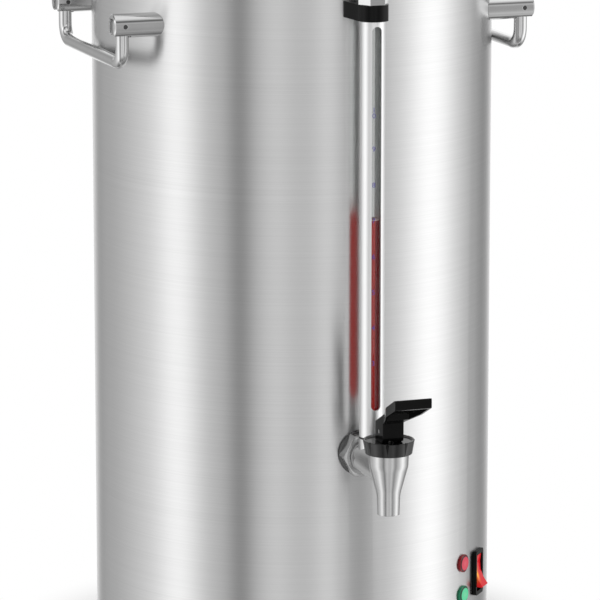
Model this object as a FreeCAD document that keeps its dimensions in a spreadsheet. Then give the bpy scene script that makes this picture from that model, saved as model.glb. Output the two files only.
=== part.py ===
import FreeCAD, Part
import math
import os
import re

import Sketcher

# Coffee urn with a percolator inside, a sight gauge and a lever tap at the front, and two bail handles.
# The origin is on the urn's axis at table level. The tap faces -Y, +X is to the right seen from the tap,
# and +Z is up. Every size below is in millimetres or degrees.

SIZES = {
    # Casing
    "body_radius": 132,
    "casing_wall": 1,
    "casing_bottom": 18,
    "casing_top": 478,
    "casing_ledge": 6,
    "casing_round": 1.5,
    # How far a cutting shape runs past what it cuts
    "cut_margin": 1,
    # Base pan, feet and their screws
    "pan_wall": 1.2,
    "pan_recess": 2,
    "pan_flange": 12,
    "sheet_gap": 0.1,
    "foot_inset": 27,
    "foot_angle": 45,
    "foot_radius": 13,
    "foot_taper": 2,
    "foot_recess": 8,
    "foot_recess_radius": 5.4,
    "foot_round": 1,
    "screw_radius": 2,
    "screw_head_radius": 4,
    "screw_head": 2.6,
    "screw_gap": 0.1,
    "screw_head_round": 1,
    "foot_screw_reach": 3.6,
    # Inner tank
    "jacket_gap": 12.5,
    "tank_wall": 1,
    "shank_rise": 22,
    "tank_round": 8,
    "well_radius": 34,
    "well_depth": 18,
    "rim_seal_thickness": 1,
    "rim_seal_inset": 1.5,
    "rim_bead": 2.5,
    "rim_overhang": 0.5,
    # Lid and knob
    "lid_wall": 1,
    "lid_gap": 0.8,
    "lid_skirt": 9,
    "lid_seat_inset": 6,
    "lid_shoulder_inset": 22,
    "lid_shoulder": 8,
    "lid_crown_radius": 24,
    "lid_crown": 20,
    "lid_flare_round": 2,
    "lid_shoulder_round": 6,
    "lid_crown_round": 40,
    "lid_vent_radius": 2,
    "lid_vent_place": 70,
    "knob_radius": 20,
    "knob_foot_radius": 11,
    "knob_foot": 4,
    "knob_height": 30,
    "knob_round": 5,
    "knob_screw_depth": 15,
    # Percolator
    "riser_radius": 5,
    "riser_wall": 0.8,
    "riser_inset": 6,
    "collar_radius": 9,
    "collar_height": 3,
    "collar_round": 1,
    "bell_gap": 0.3,
    "bell_radius": 30,
    "bell_skirt": 7,
    "bell_top": 26,
    "bell_sleeve": 38,
    "bell_wall": 1.4,
    "bell_round": 2,
    "bell_notch": 8,
    "bell_notch_height": 3,
    "valve_seat": 9,
    "valve_seat_wall": 1.2,
    "valve_hole_radius": 3.5,
    "valve_radius": 8,
    "valve_thickness": 1.2,
    "valve_travel": 3,
    "basket_gap": 25.5,
    "basket_wall": 1,
    "basket_depth": 86,
    "basket_height": 70,
    "basket_sleeve": 1,
    "basket_round": 6,
    "slide_gap": 0.3,
    "drain_radius": 1.5,
    "drain_spacing": 22,
    "drain_first_ring": 20,
    "spreader_overlap": 1.6,
    "spreader_lip": 6,
    # Heaters and controls
    "heater_radius": 32,
    "heater_thickness": 12,
    "heater_round": 2,
    "stud_radius": 3,
    "stud_length": 18,
    "small_nut_radius": 5.8,
    "small_nut_height": 5,
    "warmer_radius": 78,
    "warmer_tube": 3.5,
    "warmer_pin_radius": 2.2,
    "warmer_pin_length": 14,
    "thermostat_radius": 9,
    "thermostat_height": 8,
    "thermostat_place": 100,
    "cutout_radius": 7.5,
    "cutout_height": 9,
    "cutout_place": 55,
    "tab_width": 6.3,
    "tab_thickness": 0.8,
    "tab_height": 8,
    "block_length": 46,
    "block_width": 20,
    "block_height": 18,
    "block_place": 70,
    # Cord gland at the back
    "gland_rise": 28,
    "gland_bore": 3.8,
    "gland_thread": 6.2,
    "gland_flange": 11,
    "gland_flange_thickness": 5,
    "gland_flange_round": 1,
    "gland_nose_radius": 9,
    "gland_nose": 13,
    "gland_round": 2,
    "gland_tail": 14,
    "gland_nut_height": 4,
    "thread_gap": 0.05,
    # Bail handles
    "lug_radius": 7.75,
    "lug_spacing": 127,
    "lug_reach": 12,
    "lug_embed": 24,
    "lug_inset": 45.6,
    "lug_chamfer": 0.8,
    "pivot_gap": 4.9,
    "pivot_pin_radius": 1.5,
    "pivot_pin_gap": 0.05,
    "bail_radius": 4.3,
    "bail_drop": 25,
    "bail_bend": 11,
    "bail_gap": 0.35,
    # Tap: threaded shank, washer and nuts
    "shank_height": 158,
    "shank_radius": 8,
    "shank_bore": 5,
    "shank_hole_gap": 0.3,
    "washer_radius": 15,
    "washer_thickness": 2,
    "nut_bevel": 1,
    "nut_bevel_rise": 0.4,
    "outer_nut_flats": 13.2,
    "outer_nut_height": 8.5,
    "spacer_radius": 12,
    "tank_seal_radius": 13.5,
    "tank_seal_thickness": 3,
    "inner_nut_flats": 12.5,
    "inner_nut_height": 6,
    "shank_tail": 3,
    # Tap: body, bonnet, stem, seat cup and spring
    "tap_spacing": 30.9,
    "tee_radius": 11,
    "tee_neck_radius": 9.2,
    "tee_step": 1,
    "tap_rise": 11.3,
    "tap_top_radius": 12.9,
    "tap_waist_radius": 12.6,
    "tap_waist": 8.3,
    "tap_neck_radius": 7.5,
    "tap_neck": 27,
    "tap_end_radius": 7.1,
    "tap_length": 39.8,
    "tap_shoulder_bend": 14,
    "tap_neck_bend": 26,
    "chamber_radius": 9,
    "seat_top": 14.5,
    "seat_bottom": 19,
    "seat_bore": 4.8,
    "outlet_bore": 5.8,
    "outlet_start": 23.5,
    "outlet_taper": 3,
    "thread_radius": 11.4,
    "thread_height": 5.2,
    "bonnet_radius": 16.5,
    "bonnet_foot_radius": 15,
    "bonnet_height": 9,
    "bonnet_roof": 5.7,
    "bonnet_rim": 1.4,
    "bonnet_recess": 1,
    "bonnet_round": 0.5,
    "flute_half_width": 2.1,
    "flute_depth": 0.1,
    "flute_turn": 23.5,
    "stem_radius": 2.5,
    "stem_collar": 6.2,
    "stem_collar_thickness": 1.2,
    "stem_top": 2.6,
    "stem_gap": 0.08,
    "stem_round": 0.5,
    "cup_gap": 0.3,
    "cup_rise": 0.39,
    "cup_side_gap": 0.75,
    "cup_height": 10.6,
    "cup_skirt": 3,
    "spigot_radius": 1.8,
    "spigot_length": 6,
    "spring_radius": 4.4,
    "spring_wire": 0.5,
    "spring_turns": 4,
    # Lever
    "lever_clearance": 0.25,
    "pin_height": 5.5,
    "lever_pin_radius": 1.5,
    "pin_inset": 0.2,
    "yoke_half_width": 7,
    "slot_half_width": 2.8,
    "yoke_back": 5.6,
    "yoke_front": 8,
    "yoke_back_height": 11.2,
    "yoke_round": 1,
    "heel_radius": 3,
    "arm_slope": 26.2,
    "arm_thickness": 6,
    "flare_start": 10,
    "head_start": 26.7,
    "head_end": 43.2,
    "head_half_width": 12.2,
    "head_round": 1,
    "head_lip": 0.6,
    "pocket_start": 16,
    "pocket_rim": 1.6,
    "pocket_skin": 2.4,
    "slot_roof": 4,
    "slot_front": 3.2,
    "slot_front_foot": 9.4,
    # Sight gauge
    "gauge_gap": 1.8,
    "socket_radius": 8.4,
    "socket_rise": 14.4,
    "socket_bore": 6.3,
    "socket_depth": 6.4,
    "feed_bore": 3.5,
    "lower_seal_thickness": 1,
    "lower_seal_radius": 8.1,
    "shield_radius": 7.9,
    "shield_wall": 1,
    "shield_inset": 37,
    "sight_width": 6.4,
    "sight_foot": 18.1,
    "sight_head": 3.2,
    "back_slot_width": 8,
    "glass_radius": 5.75,
    "glass_wall": 1.2,
    "glass_rise": 4.6,
    "liquid_level": 314,
    "liquid_gap": 0.05,
    "ring_radius": 9.85,
    "ring_rise": 10.3,
    "ring_bore": 7.5,
    "ring_floor": 1.5,
    "bracket_half_width": 12,
    "bracket_root": 3,
    "upper_seal_height": 3,
    "bracket_screw_length": 10,
    "cap_flats": 8.5,
    "cap_height": 10,
    "cap_dome": 2,
    "cap_round": 1,
    "cap_bevel": 0.5,
    "cap_spigot": 7.4,
    "cap_vent": 1,
    # Rocker switch and lamps
    "switch_angle": 49.3,
    "switch_height": 58,
    "bezel_half_width": 7.2,
    "bezel_half_height": 15.2,
    "bezel_thickness": 2.2,
    "bezel_round": 2,
    "switch_half_width": 6.2,
    "switch_half_height": 12.95,
    "switch_depth": 18,
    "well_half_width": 5.5,
    "well_half_height": 12.4,
    "rocker_well": 11,
    "panel_gap": 0.1,
    "rocker_half_width": 5.2,
    "rocker_half_height": 11,
    "rocker_end": 4.2,
    "rocker_middle": 1.2,
    "rocker_dish": 0.8,
    "rocker_back": 4,
    "rocker_foot": 8.8,
    "rocker_pivot": 1,
    "rocker_tilt": 13.5,
    "rocker_pin_radius": 0.8,
    "rocker_round": 0.6,
    "lamp_angle": 39.3,
    "red_lamp_height": 69.1,
    "green_lamp_height": 47.8,
    "lamp_radius": 6,
    "lamp_face": 4.6,
    "lamp_proud": 2,
    "lamp_bevel": 0.8,
    "lamp_round": 0.4,
    "lamp_stem": 5,
    "lamp_depth": 16,
    "lamp_nut_radius": 7.5,
    "lamp_nut_height": 3,
}

# Sizes that follow from the ones above
FOLLOWING = {
    "gland_height": "casing_bottom + gland_rise",
    "foot_circle": "body_radius - foot_inset",
    "tank_radius": "body_radius - casing_wall - jacket_gap - tank_wall",
    "tank_floor": "shank_height - shank_rise",
    "lid_seat_radius": "body_radius - lid_seat_inset",
    "lid_shoulder_radius": "body_radius - lid_shoulder_inset",
    "basket_radius": "body_radius - casing_wall - jacket_gap - tank_wall - basket_gap",
    "basket_floor": "casing_top - basket_depth",
    "riser_top": "casing_top - riser_inset",
    "lug_end": "body_radius + lug_reach",
    "lug_root": "body_radius - lug_embed",
    "lug_height": "casing_top - lug_inset",
    "pivot_reach": "body_radius + pivot_gap",
    "gauge_reach": "body_radius + washer_thickness + outer_nut_height + gauge_gap + socket_radius",
    "tap_reach": "gauge_reach + tap_spacing",
    "tap_top": "shank_height + tap_rise",
    "socket_top": "shank_height + socket_rise",
    "socket_floor": "shank_height + socket_rise - socket_depth",
    "shield_top": "casing_top - shield_inset",
    "sight_bottom": "shank_height + socket_rise + lower_seal_thickness + sight_foot",
    "sight_top": "casing_top - shield_inset - sight_head",
    "glass_top": "casing_top - shield_inset + glass_rise",
    "ring_top": "casing_top - shield_inset + ring_rise",
}

# Counts and repeats
SIDES = {"left": -1, "right": 1}
ENDS = {"front": -1, "back": 1}
FLUTES = 8
DRAIN_RINGS = (14, 24, 36)
BELL_NOTCHES = 4

X_AXIS = FreeCAD.Vector(1, 0, 0)
Y_AXIS = FreeCAD.Vector(0, 1, 0)
Z_AXIS = FreeCAD.Vector(0, 0, 1)
UPRIGHT = FreeCAD.Rotation()
TO_FRONT = FreeCAD.Rotation(X_AXIS, 90)
TO_BACK = FreeCAD.Rotation(X_AXIS, -90)
TO_RIGHT = FreeCAD.Rotation(Y_AXIS, 90)
FUNCTIONS = ("sin", "cos", "tan", "sqrt")

document = FreeCAD.newDocument("CoffeeUrn")
sheet = document.addObject("Spreadsheet::Sheet", "Sizes")
for row, (size_name, size_value) in enumerate((SIZES | FOLLOWING).items(), start=1):
    sheet.set(f"A{row}", size_name)
    sheet.setAlias(f"B{row}", size_name)
    sheet.set(f"B{row}", str(size_value) if size_name in SIZES else f"={size_value}")
document.recompute()

NODES = {}


# Formulas


def linked(formula):
    """The formula with each size's name written as a reference to its cell."""
    return re.sub(r"[a-z_]+", lambda word: word[0] if word[0] in FUNCTIONS else f"Sizes.{word[0]}", formula)


def value(formula):
    """What a formula comes to with the sheet's present sizes."""
    return float(sheet.evalExpression(linked(formula)))


def bind(thing, **formulas):
    """Ties each named property to its formula."""
    for name, formula in formulas.items():
        thing.setExpression(name, linked(formula))
    return thing


def place(thing, x="0", y="0", z="0", turn=UPRIGHT):
    """Turns a shape, then ties its position to formulas."""
    thing.Placement = FreeCAD.Placement(FreeCAD.Vector(), turn)
    for axis, formula in (("x", x), ("y", y), ("z", z)):
        if formula != "0":
            thing.setExpression(f"Placement.Base.{axis}", linked(formula))
    return thing


# Sketched shapes


def round_corner_points(points, radii):
    """Where each rounded corner's arc starts and ends on the two sides that meet there."""
    entries = []
    exits = []
    for index, point in enumerate(points):
        if not radii[index]:
            entries.append(point)
            exits.append(point)
            continue
        back = (points[index - 1] - point).normalize()
        ahead = (points[(index + 1) % len(points)] - point).normalize()
        reach = radii[index] / math.tan(back.getAngle(ahead) / 2)
        entries.append(point + back * reach)
        exits.append(point + ahead * reach)
    return entries, exits


def fix_point(sketch, geometry, position, formulas):
    """Ties one sketch point's two coordinates to formulas."""
    for kind, formula, axis in (("DistanceX", formulas[0], -2), ("DistanceY", formulas[1], -1)):
        if formula == "0":
            sketch.addConstraint(Sketcher.Constraint("PointOnObject", geometry, position, axis))
            continue
        constraint = Sketcher.Constraint(kind, -1, 1, geometry, position, value(formula))
        number = sketch.addConstraint(constraint)
        sketch.setExpression(f"Constraints[{number}]", linked(formula))


def draw_outline(sketch, corners):
    """Draws a closed outline. A corner is (across, up) or, where it is rounded, (across, up, radius)."""
    points = [FreeCAD.Vector(value(corner[0]), value(corner[1]), 0) for corner in corners]
    radii = [value(corner[2]) if len(corner) > 2 else 0 for corner in corners]
    entries, exits = round_corner_points(points, radii)
    count = len(corners)
    sides = []
    for index in range(count):
        side = Part.LineSegment(exits[index], entries[(index + 1) % count])
        sides.append(sketch.addGeometry(side, False))
    for index, corner in enumerate(corners):
        before = sides[index - 1]
        after = sides[index]
        if not radii[index]:
            sketch.addConstraint(Sketcher.Constraint("Coincident", before, 2, after, 1))
            fix_point(sketch, after, 1, corner)
            continue
        point = points[index]
        back = (entries[index] - point).normalize()
        ahead = (exits[index] - point).normalize()
        centre = point + (back + ahead).normalize() * (radii[index] / math.sin(back.getAngle(ahead) / 2))
        from_entry = math.atan2(entries[index].y - centre.y, entries[index].x - centre.x)
        from_exit = math.atan2(exits[index].y - centre.y, exits[index].x - centre.x)
        turns_left = back.cross(ahead).z < 0
        start, end = (from_entry, from_exit) if turns_left else (from_exit, from_entry)
        if end < start:
            end += 2 * math.pi
        circle = Part.Circle(centre, Z_AXIS, radii[index])
        arc = sketch.addGeometry(Part.ArcOfCircle(circle, start, end), False)
        near, far = (1, 2) if turns_left else (2, 1)
        mark = sketch.addGeometry(Part.Point(point), True)
        fix_point(sketch, mark, 1, corner)
        sketch.addConstraint(Sketcher.Constraint("PointOnObject", mark, 1, before))
        sketch.addConstraint(Sketcher.Constraint("PointOnObject", mark, 1, after))
        sketch.addConstraint(Sketcher.Constraint("Tangent", before, 2, arc, near))
        sketch.addConstraint(Sketcher.Constraint("Tangent", arc, far, after, 1))
        number = sketch.addConstraint(Sketcher.Constraint("Radius", arc, radii[index]))
        sketch.setExpression(f"Constraints[{number}]", linked(corner[2]))


def outline_on(body, role, name, corners):
    """A sketch of an outline on one of a body's own origin planes."""
    sketch = body.newObject("Sketcher::SketchObject", name)
    plane = [feature for feature in body.Origin.OriginFeatures if feature.Role == role][0]
    sketch.AttachmentSupport = [(plane, "")]
    sketch.MapMode = "FlatFace"
    draw_outline(sketch, corners)
    return sketch


def turned(label, corners):
    """A body turned about its own Z axis from an outline of (radius, height) corners."""
    body = document.addObject("PartDesign::Body", label)
    sketch = outline_on(body, "XZ_Plane", f"{label}_outline", corners)
    turn = body.newObject("PartDesign::Revolution", f"{label}_turn")
    turn.Profile = sketch
    turn.ReferenceAxis = (sketch, ["V_Axis"])
    turn.Angle = 360
    return body


def padded(label, role, corners, start, length):
    """A body padded from an outline on an origin plane, from start over length along the plane's normal."""
    body = document.addObject("PartDesign::Body", label)
    sketch = outline_on(body, role, f"{label}_outline", corners)
    sketch.setExpression("AttachmentOffset.Base.z", linked(start))
    pad = body.newObject("PartDesign::Pad", f"{label}_pad")
    pad.Profile = sketch
    bind(pad, Length=length)
    return body


# Simple shapes and how they are joined


def rod(label, radius, length, x="0", y="0", z="0", turn=UPRIGHT):
    """A cylinder from a point along its own turned Z axis."""
    cylinder = document.addObject("Part::Cylinder", label)
    bind(cylinder, Radius=radius, Height=length)
    return place(cylinder, x, y, z, turn)


def block(label, length, width, height, x="0", y="0", z="0"):
    """A box from its lowest corner."""
    box = document.addObject("Part::Box", label)
    bind(box, Length=length, Width=width, Height=height)
    return place(box, x, y, z)


def hexagon(label, half_flats, height, turn=UPRIGHT, x="0", y="0", z="0"):
    """A hexagonal bar, its size given from the axis to a flat."""
    prism = document.addObject("Part::Prism", label)
    prism.Polygon = 6
    bind(prism, Circumradius=f"({half_flats}) / cos(30)", Height=height)
    return place(prism, x, y, z, turn)


def fused(label, *shapes):
    """Shapes joined into one."""
    union = document.addObject("Part::MultiFuse", label)
    union.Shapes = list(shapes)
    return union


def cut(label, base, *tools):
    """A shape with others taken out of it."""
    result = document.addObject("Part::Cut", label)
    result.Base = base
    result.Tool = tools[0] if len(tools) == 1 else grouped(f"{label}_tools", *tools)
    return result


def common(label, *shapes):
    """The space that all the shapes share."""
    shared = document.addObject("Part::MultiCommon", label)
    shared.Shapes = list(shapes)
    return shared


def grouped(label, *shapes):
    """Separate shapes kept as one group."""
    group = document.addObject("Part::Compound", label)
    group.Links = list(shapes)
    return group


def around(thing, angle):
    """Turns a shape about the urn's axis, from the front towards +X, by a formula in degrees."""
    thing.setExpression("Placement.Rotation.Angle", linked(angle))
    return thing


def node(name, thing):
    """Records the finished object of a sub-part under its name."""
    thing.Label = name
    NODES[name] = thing
    return thing


# Places that several pieces share

PAN_HEIGHT = "(casing_bottom + pan_recess)"
CASING_BORE = "(body_radius - casing_wall)"
FLANGE = "(casing_top + rim_seal_thickness)"
TANK_OUTSIDE = "(tank_radius + tank_wall)"
WELL_FLOOR = "(tank_floor - well_depth)"
VALVE_PLACE = f"({WELL_FLOOR} + valve_seat + valve_seat_wall + thread_gap)"
LID_SEAT = f"({FLANGE} + tank_wall)"
LID_TOP = f"({LID_SEAT} + lid_crown)"
SHANK_HOLE = "(shank_radius + shank_hole_gap)"
BONNET_TOP = "(tap_top + bonnet_height)"
PIN_PLACE = f"({BONNET_TOP} + pin_height)"
BEAD_PLACE = "(body_radius + rim_overhang - rim_bead)"


# Casing


def switch_opening():
    """The switch's and the lamps' openings in the casing, where they are at the front."""
    slot = block("switch_slot", "2 * switch_half_width + 2 * panel_gap", "8 * casing_wall",
                 "2 * switch_half_height + 2 * panel_gap", "-switch_half_width - panel_gap",
                 "-body_radius - 3 * casing_wall", "switch_height - switch_half_height - panel_gap")
    return around(grouped("switch_opening", slot), "switch_angle")


def lamp_opening():
    """The two round lamp holes in the casing."""
    holes = []
    for colour in ("red", "green"):
        holes.append(rod(f"{colour}_lamp_hole", "lamp_stem + panel_gap", "8 * casing_wall", "0",
                         "-body_radius + 4 * casing_wall", f"{colour}_lamp_height", TO_FRONT))
    return around(grouped("lamp_opening", *holes), "lamp_angle")


def outer_casing():
    """The brushed steel casing: a straight tube with a folded ledge at its top."""
    shell = turned("casing_shell", [
        (CASING_BORE, "casing_bottom"),
        ("body_radius", "casing_bottom"),
        ("body_radius", "casing_top", "casing_round"),
        ("body_radius - casing_ledge", "casing_top"),
        ("body_radius - casing_ledge", "casing_top - casing_wall"),
        (CASING_BORE, "casing_top - casing_wall"),
    ])
    shank_hole = rod("casing_shank_hole", SHANK_HOLE, "8 * casing_wall", "0",
                     "-body_radius + 4 * casing_wall", "shank_height", TO_FRONT)
    gland_hole = rod("casing_gland_hole", "gland_thread + panel_gap", "8 * casing_wall", "0",
                     "body_radius - 4 * casing_wall", "gland_height", TO_BACK)
    bracket_hole = rod("casing_bracket_hole", "screw_radius + screw_gap", "8 * casing_wall", "0",
                       "-body_radius + 4 * casing_wall", "(shield_top + ring_top) / 2", TO_FRONT)
    return node("outer_casing", cut("casing_cut", shell, shank_hole, gland_hole, bracket_hole,
                                    switch_opening(), lamp_opening()))


def foot_places():
    """Name and place of each foot on its circle."""
    for side, x_sign in SIDES.items():
        for end, y_sign in ENDS.items():
            yield (f"{end}_{side}", f"{x_sign} * foot_circle * cos(foot_angle)",
                   f"{y_sign} * foot_circle * sin(foot_angle)")


def base_pan():
    """The pan that closes the casing's lower end."""
    outside = f"{CASING_BORE} - sheet_gap"
    pan = turned("pan_plate", [
        ("0", PAN_HEIGHT),
        (outside, PAN_HEIGHT),
        (outside, f"{PAN_HEIGHT} + pan_flange"),
        (f"{outside} - pan_wall", f"{PAN_HEIGHT} + pan_flange"),
        (f"{outside} - pan_wall", f"{PAN_HEIGHT} + pan_wall"),
        ("0", f"{PAN_HEIGHT} + pan_wall"),
    ])
    holes = []
    for name, x, y in foot_places():
        holes.append(rod(f"pan_hole_{name}", "screw_radius + thread_gap", "3 * pan_wall", x, y,
                         f"{PAN_HEIGHT} - pan_wall"))
    return node("base_pan", cut("pan_cut", pan, *holes))


def feet():
    """Four rubber feet with a sunk screw in each."""
    screws = []
    for name, x, y in foot_places():
        foot = turned(f"foot_{name}", [
            ("foot_recess_radius", "0"),
            ("foot_radius - foot_taper", "0", "foot_round"),
            ("foot_radius", PAN_HEIGHT),
            ("screw_radius + screw_gap", PAN_HEIGHT),
            ("screw_radius + screw_gap", "foot_recess"),
            ("foot_recess_radius", "foot_recess"),
        ])
        node(f"{name}_foot", place(foot, x, y))
        screw = turned(f"foot_screw_{name}", [
            ("0", "foot_recess - screw_head"),
            ("screw_head_radius", "foot_recess - screw_head", "screw_head_round"),
            ("screw_head_radius", "foot_recess"),
            ("screw_radius", "foot_recess"),
            ("screw_radius", f"{PAN_HEIGHT} + foot_screw_reach"),
            ("0", f"{PAN_HEIGHT} + foot_screw_reach"),
        ])
        screws.append(place(screw, x, y))
    node("foot_screws", grouped("foot_screw_group", *screws))


# Inner tank


def inner_tank():
    """The tank with its pump well, its flange on the casing's ledge and its rolled rim."""
    pot = turned("tank_pot", [
        ("0", f"{WELL_FLOOR} - tank_wall"),
        ("well_radius + tank_wall", f"{WELL_FLOOR} - tank_wall", "tank_wall"),
        ("well_radius + tank_wall", "tank_floor - tank_wall"),
        (TANK_OUTSIDE, "tank_floor - tank_wall", "tank_round + tank_wall"),
        (TANK_OUTSIDE, FLANGE),
        (BEAD_PLACE, FLANGE),
        (BEAD_PLACE, LID_SEAT),
        ("tank_radius", LID_SEAT, "tank_wall"),
        ("tank_radius", "tank_floor", "tank_round"),
        ("well_radius", "tank_floor"),
        ("well_radius", WELL_FLOOR),
        ("0", WELL_FLOOR),
    ])
    bead = document.addObject("Part::Torus", "tank_bead")
    bind(bead, Radius1=BEAD_PLACE, Radius2="rim_bead")
    place(bead, z=f"{FLANGE} + rim_bead")
    stud = rod("tank_stud", "stud_radius", "stud_length + tank_wall / 2",
               z=f"{WELL_FLOOR} - tank_wall - stud_length")
    shank_hole = rod("tank_shank_hole", SHANK_HOLE, "20 * tank_wall", "0",
                     "-tank_radius + 10 * tank_wall", "shank_height", TO_FRONT)
    node("inner_tank", cut("tank_cut", fused("tank_joined", pot, bead, stud), shank_hole))
    seal = turned("rim_seal_ring", [
        ("body_radius - casing_ledge", "casing_top"),
        ("body_radius - rim_seal_inset", "casing_top"),
        ("body_radius - rim_seal_inset", FLANGE),
        ("body_radius - casing_ledge", FLANGE),
    ])
    node("rim_seal", seal)


# Lid


def lid():
    """The domed lid with its skirt, its knob and the knob's screw."""
    cover = turned("lid_cover", [
        ("screw_radius + screw_gap", f"{LID_TOP} - lid_wall"),
        ("lid_crown_radius", f"{LID_TOP} - lid_wall"),
        ("lid_shoulder_radius", f"{LID_SEAT} + lid_shoulder - lid_wall"),
        ("tank_radius - lid_gap - lid_wall", LID_SEAT),
        ("tank_radius - lid_gap - lid_wall", f"{LID_SEAT} - lid_skirt"),
        ("tank_radius - lid_gap", f"{LID_SEAT} - lid_skirt"),
        ("tank_radius - lid_gap", LID_SEAT),
        ("lid_seat_radius", LID_SEAT),
        ("lid_seat_radius", f"{LID_SEAT} + lid_wall"),
        ("tank_radius - lid_gap + lid_wall", f"{LID_SEAT} + lid_wall", "lid_flare_round"),
        ("lid_shoulder_radius + lid_wall", f"{LID_SEAT} + lid_shoulder", "lid_shoulder_round"),
        ("lid_crown_radius", LID_TOP, "lid_crown_round"),
        ("screw_radius + screw_gap", LID_TOP),
    ])
    vent = rod("lid_vent", "lid_vent_radius", "lid_crown + lid_wall", y="lid_vent_place", z=LID_SEAT)
    node("lid", cut("lid_cut", cover, vent))
    knob = turned("knob_turned", [
        ("screw_radius + thread_gap", LID_TOP),
        ("knob_foot_radius", LID_TOP),
        ("knob_foot_radius", f"{LID_TOP} + knob_foot", "knob_foot / 2"),
        ("knob_radius", f"{LID_TOP} + knob_height / 2", "knob_round"),
        ("knob_radius", f"{LID_TOP} + knob_height", "knob_round"),
        ("0", f"{LID_TOP} + knob_height"),
        ("0", f"{LID_TOP} + knob_screw_depth"),
        ("screw_radius + thread_gap", f"{LID_TOP} + knob_screw_depth"),
    ])
    node("lid_knob", knob)
    screw = turned("knob_screw_turned", [
        ("0", f"{LID_TOP} - lid_wall - screw_head"),
        ("screw_head_radius", f"{LID_TOP} - lid_wall - screw_head", "screw_head_round"),
        ("screw_head_radius", f"{LID_TOP} - lid_wall"),
        ("screw_radius", f"{LID_TOP} - lid_wall"),
        ("screw_radius", f"{LID_TOP} + knob_screw_depth - lid_wall"),
        ("0", f"{LID_TOP} + knob_screw_depth - lid_wall"),
    ])
    node("knob_screw", screw)


# Percolator


def riser_tube():
    """The tube that hot water climbs, with the collar that carries the basket."""
    inside = "riser_radius - riser_wall"
    bottom = f"{VALVE_PLACE} + valve_thickness + valve_travel + slide_gap"
    collar = "basket_floor - slide_gap"
    node("riser_tube", turned("riser_turned", [
        (inside, bottom),
        ("riser_radius", bottom),
        ("riser_radius", f"{collar} - collar_height"),
        ("collar_radius", f"{collar} - collar_height", "collar_round"),
        ("collar_radius", collar),
        ("riser_radius", collar),
        ("riser_radius", "riser_top"),
        (inside, "riser_top"),
    ]))


def pump_foot():
    """The bell that stands in the tank's well, with its valve seat and the notches that let water in."""
    base = f"{WELL_FLOOR} + bell_gap"
    sleeve = "riser_radius + thread_gap"
    bell = turned("bell_turned", [
        ("bell_radius - bell_wall", base),
        ("bell_radius", base),
        ("bell_radius", f"{WELL_FLOOR} + bell_skirt", "bell_round"),
        (f"{sleeve} + bell_wall", f"{WELL_FLOOR} + bell_top", "bell_round"),
        (f"{sleeve} + bell_wall", f"{WELL_FLOOR} + bell_sleeve"),
        (sleeve, f"{WELL_FLOOR} + bell_sleeve"),
        (sleeve, f"{WELL_FLOOR} + bell_top - bell_wall"),
        ("bell_radius - bell_wall", f"{WELL_FLOOR} + bell_skirt - bell_wall / 2"),
    ])
    seat = turned("valve_seat_ring", [
        ("valve_hole_radius", f"{WELL_FLOOR} + valve_seat"),
        ("bell_radius - bell_wall / 2", f"{WELL_FLOOR} + valve_seat"),
        ("bell_radius - bell_wall / 2", f"{WELL_FLOOR} + valve_seat + valve_seat_wall"),
        ("valve_hole_radius", f"{WELL_FLOOR} + valve_seat + valve_seat_wall"),
    ])
    limit = turned("bell_filled", [
        ("0", base),
        ("bell_radius", base),
        ("bell_radius", f"{WELL_FLOOR} + bell_skirt"),
        (f"{sleeve} + bell_wall", f"{WELL_FLOOR} + bell_top"),
        ("0", f"{WELL_FLOOR} + bell_top"),
    ])
    notches = []
    for number in range(BELL_NOTCHES):
        notch = block(f"bell_notch_{number}", "bell_radius", "bell_notch", "bell_notch_height",
                      "bell_radius / 2", "-bell_notch / 2", base)
        ring = grouped(f"bell_notch_turned_{number}", notch)
        notches.append(around(ring, f"{number} * 360 / {BELL_NOTCHES}"))
    joined = fused("bell_joined", bell, common("valve_seat_fit", seat, limit))
    node("pump_foot", cut("bell_cut", joined, *notches))


def pump_valve():
    """The loose disc that lets water up the riser and not back."""
    node("pump_valve", rod("valve_disc", "valve_radius", "valve_thickness", z=VALVE_PLACE))


def drain_holes(prefix, height):
    """Rings of small holes through a flat plate at a height."""
    holes = []
    for ring, count in enumerate(DRAIN_RINGS):
        radius = f"(drain_first_ring + {ring} * drain_spacing)"
        for number in range(count):
            angle = f"{number} * 360 / {count}"
            holes.append(rod(f"{prefix}_hole_{ring}_{number}", "drain_radius", "4 * basket_wall",
                             f"{radius} * cos({angle})", f"{radius} * sin({angle})",
                             f"{height} - basket_wall"))
    return holes


def basket():
    """The coffee basket: a cup with a sleeve that slides over the riser, and its perforated floor."""
    sleeve = "riser_radius + slide_gap"
    rim = "basket_floor + basket_height"
    cup = turned("basket_cup", [
        (sleeve, "basket_floor"),
        ("basket_radius", "basket_floor", "basket_round"),
        ("basket_radius", rim),
        ("basket_radius - basket_wall", rim),
        ("basket_radius - basket_wall", "basket_floor + basket_wall", "basket_round - basket_wall"),
        (f"{sleeve} + basket_sleeve", "basket_floor + basket_wall"),
        (f"{sleeve} + basket_sleeve", rim),
        (sleeve, rim),
    ])
    node("coffee_basket", cut("basket_cut", cup, *drain_holes("basket", "basket_floor")))


def spreader():
    """The perforated cover that spreads water over the coffee."""
    seat = "basket_floor + basket_height"
    sleeve = "riser_radius + slide_gap"
    plate = turned("spreader_plate", [
        (sleeve, seat),
        ("basket_radius + slide_gap", seat),
        ("basket_radius + slide_gap", f"{seat} - spreader_lip"),
        ("basket_radius + spreader_overlap", f"{seat} - spreader_lip"),
        ("basket_radius + spreader_overlap", f"{seat} + basket_wall", "basket_wall"),
        (sleeve, f"{seat} + basket_wall"),
    ])
    node("basket_cover", cut("spreader_cut", plate, *drain_holes("spreader", seat)))


# Heaters and controls in the base


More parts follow.
